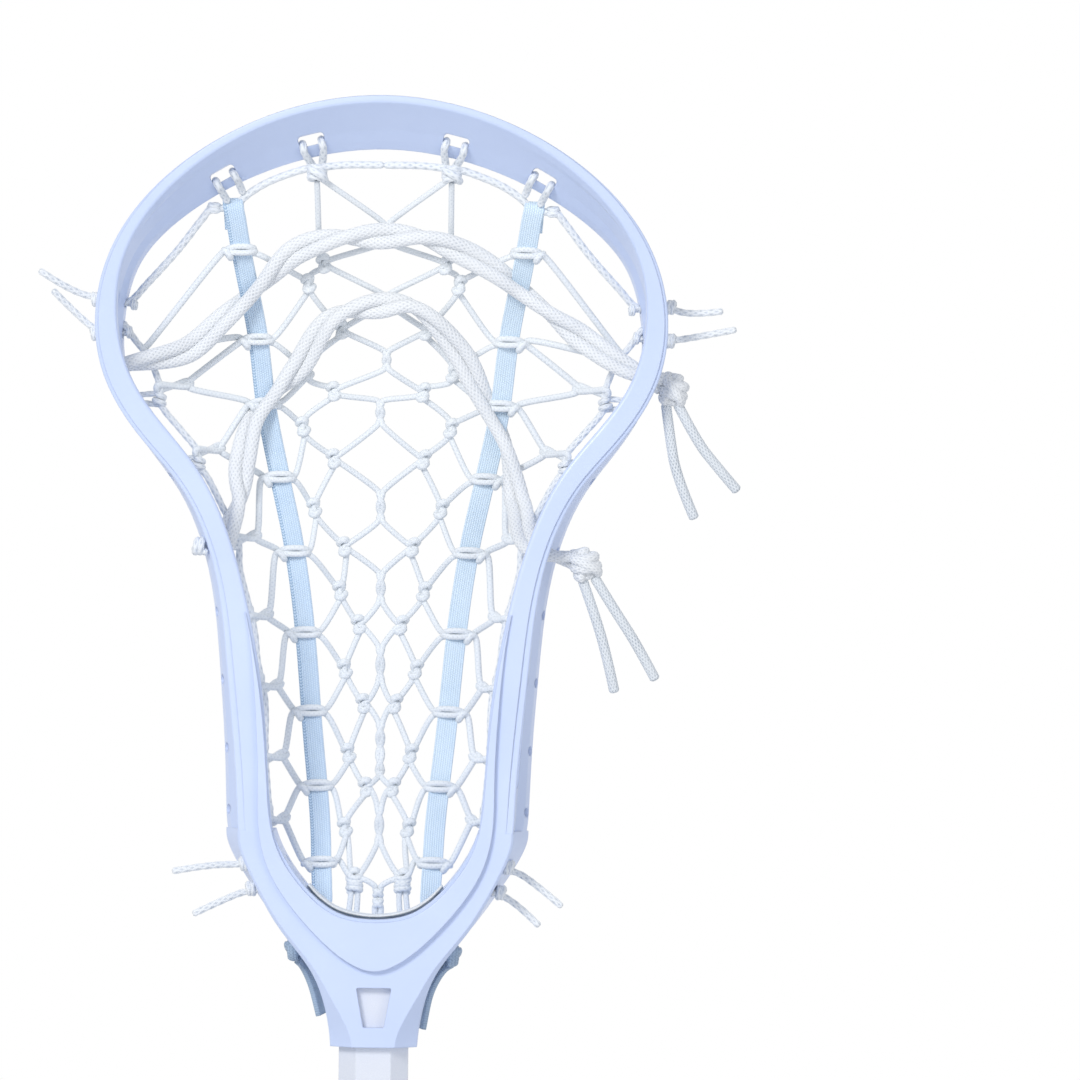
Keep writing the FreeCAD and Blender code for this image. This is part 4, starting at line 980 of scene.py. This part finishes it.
# ---------------------------------------------------------------- stopper knots outside the wall
def stoppers():
    """A small coiled knot wherever a string passes the wall."""
    mesh = Mesh()
    # (x, y, drop, size). The size is negative on the right, where the coil runs the other way.
    spots = [(-92.6, 6.2, 66.0, 1), (-92.8, 9.0, 77.0, 1), (92.8, 6.2, 66.4, -1), (92.9, 9.1, 77.2, -1),
             (-80.4, 6.2, 67.3, 0.6), (80.4, 6.2, 67.3, -0.6), (-81.8, 9.1, 76.4, 0.6),
             (81.8, 9.1, 76.4, -0.6),
             (-42.6, 6.0, 247.4, 1), (-40.4, 6.0, 255.4, 1), (42.8, 6.0, 247.6, -1), (40.2, 6.0, 255.8, -1)]
    for x, y, drop, side in spots:
        line = []
        for i in range(19):
            a = 4 * math.pi * i / 18
            wide = 1.1 + 0.45 * abs(side)
            outwards = side * (1.2 - 2.4 * i / 18)
            line.append(pt(x + outwards, y + wide * math.cos(a), drop + wide * math.sin(a)))
        mesh.tube(fair(line, 0.45), 0.95 * abs(side)**0.5, 14, braid=CORD_BRAID)
    # The lower shooting string's other end, stopped outside the left rail.
    line = []
    for i in range(25):
        a = 2 * math.pi * 2.4 * i / 24
        line.append(pt(-60.4 + 3.6 * i / 24, 15.5 + 1.9 * math.cos(a), 145.2 + 1.9 * math.sin(a)))
    mesh.tube(fair(line, 0.45), 1.15, 14, braid=CORD_BRAID)
    return mesh.build("stopper_knots", BRAID, slot="lacing_cord")


stoppers()


def runner_end(side):
    """The runner's knot outside its hole, and its flat end tucked behind the socket."""
    name = side_name(side)
    knot = Mesh()
    centre = pt(-26.8, 7.0, 274.9) if side < 0 else pt(25.2, 7.2, 276.2)
    axis = np.array([side * 0.83, 0.0, -0.55])
    upward = np.array([side * 0.55, 0.0, 0.83])
    # Turns round the axis, then one that leans across them: (start, turns, radius, drift, lean).
    for start, turns, radius, drift, lean in ((0.6, 1.6, 1.7, 2.6, 0.3), (2.4, 1.1, 2.5, -0.6, -1.3)):
        t = np.linspace(0, 1, 60)[:, None]
        a = start + 2 * math.pi * turns * t
        radial = upward * np.sin(a) - np.array([0.0, 1.0, 0.0]) * np.cos(a)
        line = centre + radial * radius + axis * (drift * (t - 0.5) + lean * np.sin(a))
        knot.tube(line, 1.75, 28, flat=0.55, first=radial[0], braid=(9, 1.6, 0.09))
    # The knot and the flat end take the darker webbing, as painted shade.
    knot.build("runner_tie_" + name, SHADED_WEBBING, slot="runner_webbing", replaces=["runner_knot_" + name])
    if side < 0:
        route = [(-25.0, 9.6, 276.6), (-23.2, 14.0, 278.8), (-20.4, 16.8, 285.0), (-17.3, 17.6, 296.3)]
    else:
        route = [(24.2, 9.6, 277.4), (21.6, 14.6, 279.6), (17.4, 17.0, 287.5), (14.6, 17.6, 300.4)]
    line = fair([pt(*p) for p in route], 0.8)
    facing = np.tile([-side * 0.92, -0.40, 0.0], (len(line), 1))
    end = Mesh().strap(line, facing, 6.3, 1.5, -side)
    end.build("runner_end_" + name, SHADED_WEBBING, slot="runner_webbing", replaces=["runner_tail_" + name])


for side in (-1, 1):
    runner_end(side)

# ---------------------------------------------------------------- stage, light, camera
world = bpy.data.worlds.new("studio")
bpy.context.scene.world = world
world.use_nodes = True
sky = world.node_tree
direction = sky.nodes.new("ShaderNodeTexCoord")
parts = sky.nodes.new("ShaderNodeSeparateXYZ")
sky.links.new(direction.outputs["Generated"], parts.inputs["Vector"])
spread = math_node(sky, "MULTIPLY_ADD", parts.outputs["Y"], 3.0, -1.3)
white, dim = (1.0, 1.0, 1.0), (0.54, 0.56, 0.60)
sky.links.new(ramp(sky, spread, [(0.0, dim), (1.0, white)]), sky.nodes["Background"].inputs["Color"])
sky.nodes["Background"].inputs["Strength"].default_value = 1.0
bpy.context.scene.view_settings.view_transform = "Standard"

floor_mesh = bpy.data.meshes.new("studio_floor")
reach = 1.6
corners = [(-reach, -reach, 0), (reach, -reach, 0), (reach, reach, 0), (-reach, reach, 0)]
floor_mesh.from_pydata(corners, [], [(0, 1, 2, 3)])
floor = bpy.data.objects.new("studio_floor", floor_mesh)
link(floor)
floor_material, tree, shader = new_material("floor_paper")
paint(tree, shader, noise(tree, 30.0), [(0.3, (0.86, 0.87, 0.89)), (0.7, (0.88, 0.89, 0.91))])
shader.inputs["Roughness"].default_value = 0.8
floor_mesh.materials.append(floor_material)


def area_light(name, place, target, width, power, colour=(1.0, 1.0, 1.0)):
    data = bpy.data.lights.new(name, "AREA")
    data.size = width
    data.energy = power
    data.color = colour
    lamp = bpy.data.objects.new(name, data)
    lamp.location = place
    lamp.rotation_euler = (Vector(target) - Vector(place)).to_track_quat("-Z", "Y").to_euler()
    link(lamp)


HEAD = (0.0, 0.0, SCOOP_TIP - 0.14)
area_light("key", (-0.75, -1.7, SCOOP_TIP + 0.75), HEAD, 0.6, 24.0, (1.0, 0.985, 0.96))
area_light("fill", (1.2, -1.5, SCOOP_TIP - 0.1), HEAD, 1.0, 5.0)

CAMERA_DISTANCE = 2.5
FRAME_WIDTH = 0.3474
ROLL = math.radians(0.68)
camera_data = bpy.data.cameras.new("camera")
camera_data.sensor_width = 36.0
camera_data.lens = 36.0 * CAMERA_DISTANCE / FRAME_WIDTH
camera_data.clip_end = 50.0
camera = bpy.data.objects.new("camera", camera_data)
camera.location = (0.0515, -CAMERA_DISTANCE, SCOOP_TIP - 0.1419)
camera.rotation_euler = (math.pi / 2, -ROLL, 0)
link(camera)
bpy.context.scene.camera = camera
